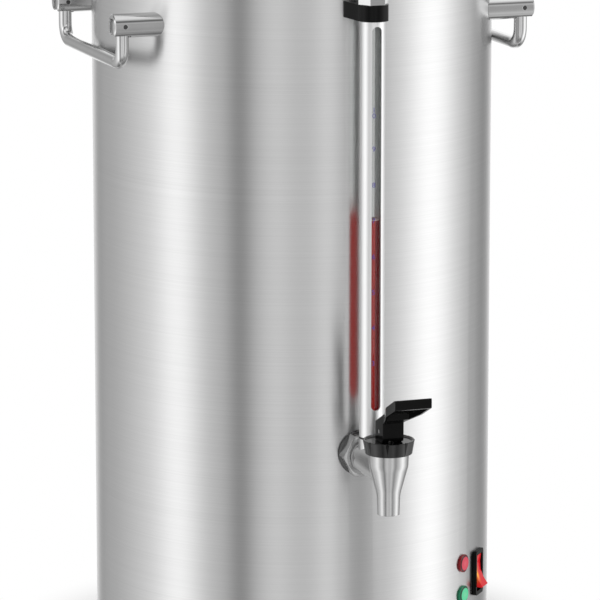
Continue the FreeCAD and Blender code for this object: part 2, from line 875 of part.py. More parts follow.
def tabs(prefix, x, y, z, spacing):
    """Two blade tabs that hang below a control."""
    blades = []
    for number, sign in enumerate((-1, 1)):
        blades.append(block(f"{prefix}_tab_{number}", "tab_thickness", "tab_width", "tab_height",
                            f"{x} + {sign} * {spacing} - tab_thickness / 2", f"{y} - tab_width / 2",
                            f"{z} - tab_height"))
    return blades


def heaters():
    """The brewing heater clamped under the well and the ring that keeps the tank warm."""
    well_underside = f"({WELL_FLOOR} - tank_wall)"
    disc = turned("heater_disc", [
        ("stud_radius + screw_gap", f"{well_underside} - heater_thickness"),
        ("heater_radius", f"{well_underside} - heater_thickness", "heater_round"),
        ("heater_radius", well_underside),
        ("stud_radius + screw_gap", well_underside),
    ])
    blades = tabs("heater", "0", "heater_radius / 2", f"{well_underside} - heater_thickness",
                  "heater_radius / 2")
    node("brew_heater", fused("heater_joined", disc, *blades))
    nut = hexagon("heater_nut_bar", "small_nut_radius", "small_nut_height",
                  z=f"{well_underside} - heater_thickness - small_nut_height")
    bore = rod("heater_nut_bore", "stud_radius + thread_gap", "2 * small_nut_height",
               z=f"{well_underside} - heater_thickness - 1.5 * small_nut_height")
    node("heater_nut", cut("heater_nut_cut", nut, bore))
    ring = document.addObject("Part::Torus", "warmer_ring")
    bind(ring, Radius1="warmer_radius", Radius2="warmer_tube")
    ring_height = "tank_floor - tank_wall - warmer_tube"
    place(ring, z=ring_height)
    pins = []
    for number, sign in enumerate((-1, 1)):
        pins.append(rod(f"warmer_pin_{number}", "warmer_pin_radius", "warmer_pin_length",
                        f"{sign} * 2 * warmer_tube", "sqrt(warmer_radius ^ 2 - 4 * warmer_tube ^ 2)",
                        f"{ring_height} - warmer_pin_length"))
    node("warming_heater", fused("warmer_joined", ring, *pins))


def controls():
    """The thermostat and the safety cut-out under the tank's floor, and the terminal block on the pan."""
    underside = "(tank_floor - tank_wall)"
    can = rod("thermostat_can", "thermostat_radius", "thermostat_height", y="thermostat_place",
              z=f"{underside} - thermostat_height")
    blades = tabs("thermostat", "0", "thermostat_place", f"{underside} - thermostat_height",
                  "thermostat_radius / 2")
    node("thermostat", fused("thermostat_joined", can, *blades))
    can = rod("cutout_can", "cutout_radius", "cutout_height", x="cutout_place",
              z=f"{underside} - cutout_height")
    blades = tabs("cutout", "cutout_place", "0", f"{underside} - cutout_height", "cutout_radius / 2")
    button = rod("cutout_button", "cutout_radius / 4", "tab_height / 2", x="cutout_place",
                 z=f"{underside} - cutout_height - tab_height / 2")
    node("safety_cutout", fused("cutout_joined", can, button, *blades))
    body = block("terminal_body", "block_length", "block_width", "block_height", "-block_length / 2",
                 "block_place - block_width / 2", f"{PAN_HEIGHT} + pan_wall")
    ways = []
    for way in range(4):
        ways.append(rod(f"terminal_way_{way}", "block_height / 6", "2 * block_width",
                        f"({way} - 1.5) * block_length / 4", "block_place + block_width",
                        f"{PAN_HEIGHT} + pan_wall + block_height / 2", TO_FRONT))
    node("terminal_block", cut("terminal_cut", body, *ways))


def cord_gland():
    """The gland where the supply cord enters at the back, and its nut inside the casing."""
    gland = turned("gland_turned", [
        ("gland_bore", "-gland_tail"),
        ("gland_thread", "-gland_tail"),
        ("gland_thread", "0"),
        ("gland_flange", "0"),
        ("gland_flange", "gland_flange_thickness", "gland_flange_round"),
        ("gland_nose_radius", "gland_flange_thickness"),
        ("gland_nose_radius", "gland_flange_thickness + gland_nose", "gland_round"),
        ("gland_bore", "gland_flange_thickness + gland_nose"),
    ])
    node("cord_gland", place(gland, y="body_radius", z="gland_height", turn=TO_BACK))
    seat = "sqrt((body_radius - casing_wall) ^ 2 - gland_flange ^ 2)"
    nut = hexagon("gland_nut_bar", "gland_flange * cos(30)", "gland_nut_height", TO_FRONT, y=seat,
                  z="gland_height")
    bore = rod("gland_nut_bore", "gland_thread + thread_gap", "2 * gland_nut_height",
               y=f"{seat} + gland_nut_height / 2", z="gland_height", turn=TO_FRONT)
    node("gland_nut", cut("gland_nut_cut", nut, bore))


# Bail handles


def lug(side, end):
    """One round lug, welded to the casing and slotted at its end and underneath for the bail."""
    name = f"{side}_{end}_lug"
    x_sign = SIDES[side]
    y = f"{ENDS[end]} * lug_spacing / 2"
    bar = turned(f"{name}_bar", [
        ("0", "lug_root"),
        ("lug_radius", "lug_root"),
        ("lug_radius", "lug_end - lug_chamfer"),
        ("lug_radius - lug_chamfer", "lug_end"),
        ("0", "lug_end"),
    ])
    place(bar, y=y, z="lug_height", turn=FreeCAD.Rotation(Y_AXIS, 90 * x_sign))
    casing_space = rod(f"{name}_casing_space", "body_radius", "4 * lug_radius",
                       z="lug_height - 2 * lug_radius")
    reach = "(bail_radius + bail_gap)"
    slot_start = f"pivot_reach - {reach}" if x_sign > 0 else "-lug_end - lug_chamfer"
    slot = block(f"{name}_slot", f"lug_end + lug_chamfer - pivot_reach + {reach}", f"2 * {reach}",
                 f"2 * lug_radius + {reach}", slot_start, f"{y} - {reach}", "lug_height - 2 * lug_radius")
    pin_hole = rod(f"{name}_pin_hole", "pivot_pin_radius", "4 * lug_radius", f"{x_sign} * pivot_reach",
                   f"{y} + 2 * lug_radius", "lug_height", TO_FRONT)
    node(name, cut(f"{name}_cut", bar, casing_space, slot, pin_hole))


def bail(side):
    """One bail: a round bar bent twice, hanging from its two pins."""
    name = f"{side}_bail"
    x = f"{SIDES[side]} * pivot_reach"
    low = "lug_height - bail_drop"
    half = "lug_spacing / 2"
    pieces = [rod(f"{name}_grip", "bail_radius", "lug_spacing - 2 * bail_bend", x, f"{half} - bail_bend", low,
                  TO_FRONT)]
    holes = []
    for end, y_sign in ENDS.items():
        y = f"{y_sign} * {half}"
        pieces.append(rod(f"{name}_{end}_leg", "bail_radius", "bail_drop - bail_bend", x, y,
                          f"{low} + bail_bend"))
        eye = document.addObject("Part::Sphere", f"{name}_{end}_eye")
        bind(eye, Radius="bail_radius")
        pieces.append(place(eye, x, y, "lug_height"))
        elbow = document.addObject("Part::Torus", f"{name}_{end}_elbow")
        bind(elbow, Radius1="bail_bend", Radius2="bail_radius")
        elbow.Angle3 = 90
        quarter = FreeCAD.Rotation(Y_AXIS, 90) if y_sign > 0 else FreeCAD.Rotation(Z_AXIS, 180).multiply(
            FreeCAD.Rotation(Y_AXIS, 90))
        pieces.append(place(elbow, x, f"{y} - {y_sign} * bail_bend", f"{low} + bail_bend", quarter))
        holes.append(rod(f"{name}_{end}_hole", "pivot_pin_radius + pivot_pin_gap", "4 * bail_radius", x,
                         f"{y} + 2 * bail_radius", "lug_height", TO_FRONT))
    node(name, cut(f"{name}_cut", fused(f"{name}_bar", *pieces), *holes))


def handles():
    """The four lugs, their pins and the two bails."""
    pins = []
    pin_length = "2 * sqrt(lug_radius ^ 2 - pivot_pin_radius ^ 2)"
    for side, x_sign in SIDES.items():
        for end, y_sign in ENDS.items():
            lug(side, end)
            pins.append(rod(f"{side}_{end}_pin", "pivot_pin_radius", pin_length, f"{x_sign} * pivot_reach",
                            f"{y_sign} * lug_spacing / 2 + {pin_length} / 2", "lug_height", TO_FRONT))
        bail(side)
    node("bail_pins", grouped("bail_pin_group", *pins))


# Tap


def hex_nut(label, half_flats, height, bore, y):
    """A hexagonal nut on the shank, its outer corners turned off, with a flat on top."""
    bar = hexagon(f"{label}_bar", half_flats, height, FreeCAD.Rotation(X_AXIS, 90), y=y, z="shank_height")
    corner = f"({half_flats}) / cos(30)"
    bevel = turned(f"{label}_bevel", [
        ("0", "0"),
        (f"{corner} + nut_bevel", "0"),
        (f"{corner} + nut_bevel", f"{height} - nut_bevel"),
        (f"({half_flats}) - nut_bevel_rise", height),
        ("0", height),
    ])
    place(bevel, y=y, z="shank_height", turn=TO_FRONT)
    hole = rod(f"{label}_hole", bore, f"2 * {height}", y=f"{y} + {height} / 2", z="shank_height",
               turn=TO_FRONT)
    return cut(f"{label}_cut", common(f"{label}_shape", bar, bevel), hole)


def tap_outside(label, solid):
    """The tap's outer form, as a shell outline to turn or as a filled form to cut others with."""
    end = "tap_top - tap_length"
    outer = [
        ("tap_end_radius", end),
        ("tap_neck_radius", "tap_top - tap_neck", "tap_neck_bend"),
        ("tap_waist_radius", "tap_top - tap_waist", "tap_shoulder_bend"),
        ("tap_top_radius", "tap_top"),
        ("thread_radius", "tap_top"),
        ("thread_radius", "tap_top + thread_height"),
    ]
    if solid:
        return turned(label, [("0", end)] + outer + [("0", "tap_top + thread_height")])
    inner = [
        ("chamber_radius", "tap_top + thread_height"),
        ("chamber_radius", "tap_top - seat_top"),
        ("seat_bore", "tap_top - seat_bottom"),
        ("seat_bore", "tap_top - outlet_start"),
        ("outlet_bore", "tap_top - outlet_start - outlet_taper"),
        ("outlet_bore", end),
    ]
    return turned(label, outer + inner)


def gauge_tee():
    """The shank through the wall, the arm to the tap and the socket that the gauge stands in."""
    start = "tank_radius - tank_seal_thickness - inner_nut_height - shank_tail"
    arm_start = "body_radius + washer_thickness + outer_nut_height"
    shank = rod("tee_shank", "shank_radius", f"gauge_reach - ({start})", y=f"-({start})", z="shank_height",
                turn=TO_FRONT)
    arm = turned("tee_arm", [
        ("0", "0"),
        ("tee_neck_radius", "0"),
        ("tee_neck_radius", "tee_step"),
        ("tee_radius", "2 * tee_step", "tee_step"),
        ("tee_radius", f"tap_reach - ({arm_start})"),
        ("0", f"tap_reach - ({arm_start})"),
    ])
    place(arm, y=f"-({arm_start})", z="shank_height", turn=TO_FRONT)
    socket = rod("tee_socket", "socket_radius", "socket_top - shank_height", y="-gauge_reach",
                 z="shank_height")
    outside = place(tap_outside("tee_tap_space", True), y="-tap_reach")
    seat = rod("tee_glass_seat", "socket_bore", "socket_top", y="-gauge_reach", z="socket_floor")
    feed = rod("tee_feed", "feed_bore", "socket_top - shank_height", y="-gauge_reach", z="shank_height")
    flow = rod("tee_flow", "shank_bore", "tap_reach", y=f"-({start}) + cut_margin", z="shank_height",
               turn=TO_FRONT)
    body = fused("tee_joined", shank, arm, socket)
    node("gauge_tee", cut("tee_cut", body, outside, seat, feed, flow))


def tap_body():
    """The tapered tap with its chamber, seat and nozzle."""
    shell = place(tap_outside("tap_turned", False), y="-tap_reach")
    inlet = rod("tap_inlet", "shank_bore", "tap_top_radius", y="-tap_reach + tap_top_radius",
                z="shank_height", turn=TO_FRONT)
    node("tap_body", cut("tap_cut", shell, inlet))


def shank_pieces():
    """The washer, nuts, spacer and seal that clamp the shank in the two walls."""
    washer = turned("washer_turned", [
        (SHANK_HOLE, "0"),
        ("washer_radius", "0"),
        ("washer_radius", "washer_thickness", "washer_thickness / 2"),
        (SHANK_HOLE, "washer_thickness"),
    ])
    node("outer_washer", place(washer, y="-body_radius", z="shank_height", turn=TO_FRONT))
    node("outer_nut", hex_nut("outer_nut", "outer_nut_flats", "outer_nut_height",
                              "shank_radius + thread_gap", "-body_radius - washer_thickness"))
    tube = rod("spacer_tube", "spacer_radius", "body_radius - tank_radius + 2 * spacer_radius",
               y="-tank_radius + spacer_radius", z="shank_height", turn=TO_FRONT)
    low = "shank_height - 2 * spacer_radius"
    casing_space = rod("spacer_casing_space", CASING_BORE, "4 * spacer_radius", z=low)
    tank_space = rod("spacer_tank_space", TANK_OUTSIDE, "4 * spacer_radius", z=low)
    bore = rod("spacer_bore", SHANK_HOLE, "body_radius", y="-tank_radius / 2", z="shank_height",
               turn=TO_FRONT)
    node("shank_spacer", cut("spacer_cut", common("spacer_shape", tube, casing_space), tank_space, bore))
    ring = rod("tank_seal_ring", "tank_seal_radius", "tank_seal_thickness + tank_seal_radius",
               y="-tank_radius + tank_seal_thickness", z="shank_height", turn=TO_FRONT)
    tank_inside = rod("tank_seal_space", "tank_radius", "4 * tank_seal_radius",
                      z="shank_height - 2 * tank_seal_radius")
    bore = rod("tank_seal_bore", SHANK_HOLE, "tank_radius", y="-tank_radius / 2", z="shank_height",
               turn=TO_FRONT)
    node("tank_seal", cut("tank_seal_cut", common("tank_seal_shape", ring, tank_inside), bore))
    node("inner_nut", hex_nut("inner_nut", "inner_nut_flats", "inner_nut_height", "shank_radius + thread_gap",
                              "-tank_radius + tank_seal_thickness + inner_nut_height"))


def bonnet():
    """The fluted cap that screws onto the tap and guides the stem."""
    cap = turned("bonnet_turned", [
        ("thread_radius + thread_gap", "tap_top"),
        ("bonnet_foot_radius", "tap_top", "bonnet_round"),
        ("bonnet_radius", BONNET_TOP, "bonnet_round"),
        ("bonnet_radius - bonnet_rim", BONNET_TOP),
        ("bonnet_radius - bonnet_rim - bonnet_recess / 2",
         f"{BONNET_TOP} - bonnet_recess"),
        ("stem_radius + stem_gap", f"{BONNET_TOP} - bonnet_recess"),
        ("stem_radius + stem_gap", "tap_top + bonnet_roof"),
        ("thread_radius + thread_gap", "tap_top + bonnet_roof"),
    ])
    flutes = []
    for number in range(FLUTES):
        flute = padded(f"flute_{number}", "XY_Plane", [
            ("0", "-bonnet_foot_radius + flute_depth"),
            ("-flute_half_width", "-bonnet_radius - cut_margin"),
            ("flute_half_width", "-bonnet_radius - cut_margin"),
        ], "tap_top - cut_margin", "3 * bonnet_height")
        ring = grouped(f"flute_turned_{number}", flute)
        flutes.append(around(ring, f"{number} * 360 / {FLUTES} - flute_turn"))
    node("tap_bonnet", place(cut("bonnet_cut", cap, *flutes), y="-tap_reach"))


def stem_pieces():
    """The stem with its collar, the soft cup that closes the seat, and the spring above the collar."""
    cup_bottom = "(tap_top - seat_bottom + cup_rise)"
    cup_top = f"({cup_bottom} + cup_height)"
    roof = "(tap_top + bonnet_roof)"
    slope = "(chamber_radius - seat_bore) / (seat_bottom - seat_top)"
    cup_end = f"(seat_bore + cup_rise * {slope} - cup_gap * sqrt(1 + ({slope}) ^ 2))"
    cup_side = "(chamber_radius - cup_side_gap)"
    cup_shoulder = f"({cup_bottom} + ({cup_side} - {cup_end}) / ({slope}))"
    cup = turned("cup_turned", [
        ("0", cup_bottom),
        (cup_end, cup_bottom),
        (cup_side, cup_shoulder),
        (cup_side, f"{cup_shoulder} + cup_skirt"),
        ("stem_collar", cup_top),
        ("spigot_radius + thread_gap", cup_top),
        ("spigot_radius + thread_gap", f"{cup_top} - spigot_length"),
        ("0", f"{cup_top} - spigot_length"),
    ])
    node("seat_cup", place(cup, y="-tap_reach"))
    stem = turned("stem_turned", [
        ("0", f"{cup_top} - spigot_length + thread_gap"),
        ("spigot_radius", f"{cup_top} - spigot_length + thread_gap"),
        ("spigot_radius", cup_top),
        ("stem_collar", cup_top),
        ("stem_collar", f"{cup_top} + stem_collar_thickness", "stem_round"),
        ("stem_radius", f"{cup_top} + stem_collar_thickness"),
        ("stem_radius", f"{PIN_PLACE} + stem_top", "stem_round"),
        ("0", f"{PIN_PLACE} + stem_top"),
    ])
    place(stem, y="-tap_reach")
    pin_hole = rod("stem_pin_hole", "lever_pin_radius", "4 * stem_radius", "-2 * stem_radius", "-tap_reach",
                   PIN_PLACE, TO_RIGHT)
    node("tap_stem", cut("stem_cut", stem, pin_hole))
    coil = document.addObject("Part::Helix", "spring_coil")
    start = f"({cup_top} + stem_collar_thickness + spring_wire + thread_gap)"
    height = f"({roof} - spring_wire - thread_gap - {start})"
    bind(coil, Radius="spring_radius", Pitch=f"{height} / spring_turns", Height=height)
    wire = document.addObject("Part::Circle", "spring_section")
    bind(wire, Radius="spring_wire")
    place(wire, x="spring_radius", turn=FreeCAD.Rotation(X_AXIS, 90))
    spring = document.addObject("Part::Sweep", "spring_sweep")
    spring.Sections = [wire]
    spring.Spine = (coil, ["Edge1"])
    spring.Solid = True
    spring.Frenet = True
    node("tap_spring", place(spring, y="-tap_reach", z=start))


def lever():
    """The lever: a yoke that straddles the stem, and a sloping arm that widens to a hollow finger plate."""
    foot = "(pin_height + bonnet_recess - lever_clearance)"
    rise = "tan(arm_slope)"
    top_at_back = "(yoke_back_height - pin_height)"
    head_top = f"({top_at_back} + (head_end + yoke_back) * {rise})"
    front_top = f"({top_at_back} + (yoke_front + yoke_back) * {rise} - arm_thickness)"
    side = [
        ("yoke_back", f"-{foot}"),
        ("yoke_back", top_at_back, "yoke_round"),
        ("-head_end", head_top, "head_round"),
        ("-head_end", f"{head_top} - arm_thickness - head_lip", "head_round"),
        ("-yoke_front", front_top),
        ("-yoke_front", f"-{foot}", "heel_radius"),
    ]
    profile = padded("lever_side", "YZ_Plane", side, "-head_half_width", "2 * head_half_width")
    top = padded("lever_plan", "XY_Plane", [
        ("-yoke_half_width", "yoke_back + cut_margin"),
        ("-yoke_half_width", "-flare_start"),
        ("-head_half_width", "-head_start"),
        ("-head_half_width", "-head_end - cut_margin"),
        ("head_half_width", "-head_end - cut_margin"),
        ("head_half_width", "-head_start"),
        ("yoke_half_width", "-flare_start"),
        ("yoke_half_width", "yoke_back + cut_margin"),
    ], f"-{foot} - cut_margin", f"{foot} + {head_top} + 2 * cut_margin")
    slot = padded("lever_slot", "YZ_Plane", [
        ("yoke_back + cut_margin", f"-{foot} - cut_margin"),
        ("yoke_back + cut_margin", "slot_roof"),
        ("-slot_front", "slot_roof"),
        ("-slot_front", "0"),
        ("-slot_front_foot", f"-{foot} - cut_margin"),
    ], "-slot_half_width", "2 * slot_half_width")
    pocket_end = "head_end - pocket_rim"
    pocket_side = padded("lever_pocket_side", "YZ_Plane", [
        (f"-({pocket_end})", f"{head_top} - arm_thickness - head_lip - cut_margin"),
        (f"-({pocket_end})", f"{head_top} - pocket_rim * {rise} - pocket_skin"),
        ("-pocket_start", f"{top_at_back} + (pocket_start + yoke_back) * {rise} - pocket_skin"),
        ("-pocket_start", f"{front_top} - cut_margin"),
    ], "-head_half_width", "2 * head_half_width")
    spread = "(head_half_width - yoke_half_width) * (pocket_start - flare_start) / (head_start - flare_start)"
    pocket_start_width = f"(yoke_half_width + {spread} - pocket_rim)"
    pocket_plan = padded("lever_pocket_plan", "XY_Plane", [
        (f"-{pocket_start_width}", "-pocket_start"),
        ("-head_half_width + pocket_rim", "-head_start"),
        ("-head_half_width + pocket_rim", f"-({pocket_end})"),
        ("head_half_width - pocket_rim", f"-({pocket_end})"),
        ("head_half_width - pocket_rim", "-head_start"),
        (pocket_start_width, "-pocket_start"),
    ], "0", head_top)
    pocket = common("lever_pocket", pocket_side, pocket_plan)
    pin_hole = rod("lever_pin_hole", "lever_pin_radius + pivot_pin_gap", "4 * yoke_half_width",
                   "-2 * yoke_half_width", turn=TO_RIGHT)
    shape = common("lever_shape", profile, top)
    node("tap_lever", place(cut("lever_cut", shape, slot, pocket, pin_hole), y="-tap_reach", z=PIN_PLACE))
    node("lever_pin", rod("lever_pin_rod", "lever_pin_radius", "2 * yoke_half_width - 2 * pin_inset",
                          "-yoke_half_width + pin_inset", "-tap_reach", PIN_PLACE, TO_RIGHT))


# Sight gauge


def sight_slot(label, width, bottom, top, back):
    """A long slot with round ends, cut from the gauge's axis towards the front or the back."""
    reach = "2 * shield_radius"
    y = "-gauge_reach" if back else f"-gauge_reach - {reach}"
    start = "-gauge_reach" if not back else f"-gauge_reach + {reach}"
    middle = block(f"{label}_middle", width, reach, f"({top}) - ({bottom}) - {width}", f"-{width} / 2", y,
                   f"{bottom} + {width} / 2")
    ends = []
    for number, height in enumerate((f"{bottom} + {width} / 2", f"{top} - {width} / 2")):
        ends.append(rod(f"{label}_end_{number}", f"{width} / 2", reach, "0", start, height, TO_FRONT))
    return fused(label, middle, *ends)


def gauge_shield():
    """The steel tube around the glass, slotted at the front and at the back."""
    bottom = "(socket_top + lower_seal_thickness)"
    tube = turned("shield_tube", [
        ("shield_radius - shield_wall", bottom),
        ("shield_radius", bottom),
        ("shield_radius", "shield_top"),
        ("shield_radius - shield_wall", "shield_top"),
    ])
    place(tube, y="-gauge_reach")
    front = sight_slot("front_slot", "sight_width", "sight_bottom", "sight_top", False)
    back = sight_slot("back_slot", "back_slot_width", "sight_bottom", "sight_top", True)
    node("gauge_shield", cut("shield_cut", tube, front, back))


def gauge_glass():
    """The glass tube, the coffee that stands in it and the seals at its ends."""
    glass = turned("glass_tube", [
        ("glass_radius - glass_wall", "socket_floor"),
        ("glass_radius", "socket_floor"),
        ("glass_radius", "glass_top"),
        ("glass_radius - glass_wall", "glass_top"),
    ])
    node("gauge_glass", place(glass, y="-gauge_reach"))
    node("gauge_coffee", rod("coffee_column", "glass_radius - glass_wall - liquid_gap",
                             "liquid_level - socket_floor", y="-gauge_reach", z="socket_floor"))
    seal = turned("lower_seal_ring", [
        ("glass_radius + liquid_gap", "socket_top"),
        ("lower_seal_radius", "socket_top"),
        ("lower_seal_radius", "socket_top + lower_seal_thickness"),
        ("glass_radius + liquid_gap", "socket_top + lower_seal_thickness"),
    ])
    node("lower_gauge_seal", place(seal, y="-gauge_reach"))
    seal = turned("upper_seal_ring", [
        ("glass_radius + liquid_gap", "shield_top + ring_floor"),
        ("ring_bore - liquid_gap", "shield_top + ring_floor"),
        ("ring_bore - liquid_gap", "shield_top + ring_floor + upper_seal_height"),
        ("glass_radius + liquid_gap", "shield_top + ring_floor + upper_seal_height"),
    ])
    node("upper_gauge_seal", place(seal, y="-gauge_reach"))


def gauge_bracket():
    """The black bracket that holds the gauge's top to the casing, its screw and the cap over the glass."""
    height = "ring_top - shield_top"
    arm = padded("bracket_arm", "XY_Plane", [
        ("-bracket_half_width", "-body_radius + bracket_root"),
        ("bracket_half_width", "-body_radius + bracket_root"),
        ("bracket_half_width", "-body_radius - cut_margin"),
        ("ring_radius", "-gauge_reach"),
        ("-ring_radius", "-gauge_reach"),
        ("-bracket_half_width", "-body_radius - cut_margin"),
    ], "shield_top", height)
    ring = rod("bracket_ring", "ring_radius", height, y="-gauge_reach", z="shield_top")
    casing_space = rod("bracket_casing_space", "body_radius", f"2 * ({height})", z="shield_top - cut_margin")
    bore = rod("bracket_bore", "ring_bore", height, y="-gauge_reach", z="shield_top + ring_floor")
    glass_hole = rod("bracket_glass_hole", "glass_radius + 2 * liquid_gap", height, y="-gauge_reach",
                     z="shield_top - cut_margin")
    middle = "(shield_top + ring_top) / 2"
    screw_hole = rod("bracket_screw_hole", "screw_radius + thread_gap",
                     "bracket_screw_length + 2 * cut_margin", y="-body_radius + 2 * cut_margin", z=middle,
                     turn=TO_FRONT)
    body = fused("bracket_joined", arm, ring)
    node("gauge_bracket", cut("bracket_cut", body, casing_space, bore, glass_hole, screw_hole))
    seat = "sqrt((body_radius - casing_wall) ^ 2 - screw_head_radius ^ 2)"
    screw = turned("bracket_screw_turned", [
        ("0", "-screw_head"),
        ("screw_head_radius", "-screw_head", "screw_head_round"),
        ("screw_head_radius", "0"),
        ("screw_radius", "0"),
        ("screw_radius", "bracket_screw_length"),
        ("0", "bracket_screw_length"),
    ])
    node("bracket_screw", place(screw, y=f"-{seat}", z=middle, turn=TO_FRONT))
    crown = hexagon("cap_bar", "cap_flats", "cap_height", y="-gauge_reach", z="ring_top")
    corner = "cap_flats / cos(30)"
    dome = turned("cap_form", [
        ("0", "shield_top"),
        (f"{corner} + cut_margin", "shield_top"),
        (f"{corner} + cut_margin", "ring_top + cap_height - cap_dome"),
        ("cap_flats - cap_bevel", "ring_top + cap_height", "cap_round"),
        ("0", "ring_top + cap_height"),
    ])
    place(dome, y="-gauge_reach")
    spigot_height = "ring_top - shield_top - ring_floor - upper_seal_height - cap_bevel"
    spigot = rod("cap_spigot_rod", "cap_spigot", f"{spigot_height} + cut_margin", y="-gauge_reach",
                 z=f"ring_top - ({spigot_height})")
    vent = rod("cap_vent_hole", "cap_vent", "4 * cap_height", y="-gauge_reach", z="shield_top")
    joined = fused("cap_joined", common("cap_shape", crown, dome), spigot)
    node("gauge_cap", cut("cap_cut", joined, vent))


# Switch and lamps


def switch():
    """The rocker switch: its housing with a bezel, the pin and the rocker."""
    top = "switch_height"
    bezel = padded("bezel_plate", "XZ_Plane", [
        ("-bezel_half_width", f"{top} - bezel_half_height", "bezel_round"),
        ("bezel_half_width", f"{top} - bezel_half_height", "bezel_round"),
        ("bezel_half_width", f"{top} + bezel_half_height", "bezel_round"),
        ("-bezel_half_width", f"{top} + bezel_half_height", "bezel_round"),
    ], "body_radius", "bezel_thickness")
    housing = block("switch_box", "2 * switch_half_width", "switch_depth + bezel_thickness / 2",
                    "2 * switch_half_height", "-switch_half_width", "-body_radius - bezel_thickness / 2",
                    f"{top} - switch_half_height")
    hollow = block("switch_hollow", "2 * well_half_width", "rocker_well + bezel_thickness + cut_margin",
                   "2 * well_half_height", "-well_half_width", "-body_radius - bezel_thickness - cut_margin",
                   f"{top} - well_half_height")
    pivot_y = "-body_radius + rocker_pivot"
    pin_hole = rod("switch_pin_hole", "rocker_pin_radius", "4 * switch_half_width", "-2 * switch_half_width",
                   pivot_y, top, TO_RIGHT)
    blades = tabs("switch", "0", "-body_radius + switch_depth - tab_width", f"{top} - switch_half_height",
                  "switch_half_width / 2")
    joined = fused("switch_joined", bezel, housing, *blades)
    node("switch_housing", around(cut("switch_cut", joined, hollow, pin_hole), "switch_angle"))
    pin = rod("rocker_pin_rod", "rocker_pin_radius", "2 * switch_half_width - 2 * pin_inset",
              "-switch_half_width + pin_inset", pivot_y, top, TO_RIGHT)
    node("rocker_pin", around(grouped("rocker_pin_turned", pin), "switch_angle"))
    rocker = padded("rocker_form", "YZ_Plane", [
        ("-rocker_pivot - rocker_end", "rocker_half_height", "rocker_round"),
        ("-rocker_pivot - rocker_middle - rocker_dish", "rocker_half_height / 2"),
        ("-rocker_pivot - rocker_middle", "0"),
        ("-rocker_pivot - rocker_middle - rocker_dish", "-rocker_half_height / 2"),
        ("-rocker_pivot - rocker_end", "-rocker_half_height", "rocker_round"),
        ("rocker_back", "-rocker_foot"),
        ("rocker_back", "rocker_foot"),
    ], "-rocker_half_width", "2 * rocker_half_width")
    hole = rod("rocker_hole", "rocker_pin_radius + pivot_pin_gap", "4 * rocker_half_width",
               "-2 * rocker_half_width", turn=TO_RIGHT)
    shape = cut("rocker_cut", rocker, hole)
    shape.Placement = FreeCAD.Placement(FreeCAD.Vector(), FreeCAD.Rotation(-X_AXIS, 1))
    shape.setExpression("Placement.Rotation.Angle", linked("rocker_tilt"))
    shape.setExpression("Placement.Base.y", linked(pivot_y))
    shape.setExpression("Placement.Base.z", linked(top))
    node("switch_rocker", around(grouped("rocker_turned", shape), "switch_angle"))


def lamps():
    """The red and the green lamp, and the nuts that hold them inside the casing."""
    nuts = []
    for colour in ("red", "green"):
        height = f"{colour}_lamp_height"
        lens = turned(f"{colour}_lens", [
            ("0", "-lamp_depth"),
            ("lamp_stem", "-lamp_depth"),
            ("lamp_stem", "0"),
            ("lamp_radius", "0"),
            ("lamp_radius", "lamp_proud - lamp_bevel"),
            ("lamp_face", "lamp_proud", "lamp_round"),
            ("0", "lamp_proud"),
        ])
        place(lens, y="-body_radius", z=height, turn=TO_FRONT)
        node(f"{colour}_lamp", around(grouped(f"{colour}_lamp_turned", lens), "lamp_angle"))
        seat = "sqrt((body_radius - casing_wall) ^ 2 - lamp_nut_radius ^ 2)"
        nut = hexagon(f"{colour}_nut_bar", "lamp_nut_radius * cos(30)", "lamp_nut_height", TO_BACK,
                      y=f"-{seat}", z=height)
        bore = rod(f"{colour}_nut_bore", "lamp_stem + thread_gap", "3 * lamp_nut_height",
                   y=f"-{seat} - lamp_nut_height", z=height, turn=TO_BACK)
        nuts.append(cut(f"{colour}_nut", nut, bore))
    node("lamp_nuts", around(grouped("lamp_nut_group", *nuts), "lamp_angle"))


# Build everything, check it and write it

outer_casing()
base_pan()
feet()
inner_tank()
lid()
riser_tube()
pump_foot()
pump_valve()
basket()
spreader()
heaters()
controls()
cord_gland()
handles()
gauge_tee()
tap_body()
shank_pieces()
bonnet()
stem_pieces()
lever()
gauge_shield()
gauge_glass()
gauge_bracket()
switch()
lamps()
document.recompute()

faults = [f"{thing.Name}: {thing.State}" for thing in document.Objects
          if "Invalid" in thing.State or "Error" in thing.State]
for name, thing in NODES.items():
    if thing.Shape.isNull() or not thing.Shape.isValid() or not thing.Shape.Solids:
        faults.append(f"{name}: no valid solid")
if faults:
    raise RuntimeError("; ".join(faults))

os.makedirs("parts", exist_ok=True)
for name, thing in NODES.items():
    thing.Shape.exportStep(f"parts/{name}.step")
print(len(NODES), "sub-parts written")
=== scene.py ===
import math

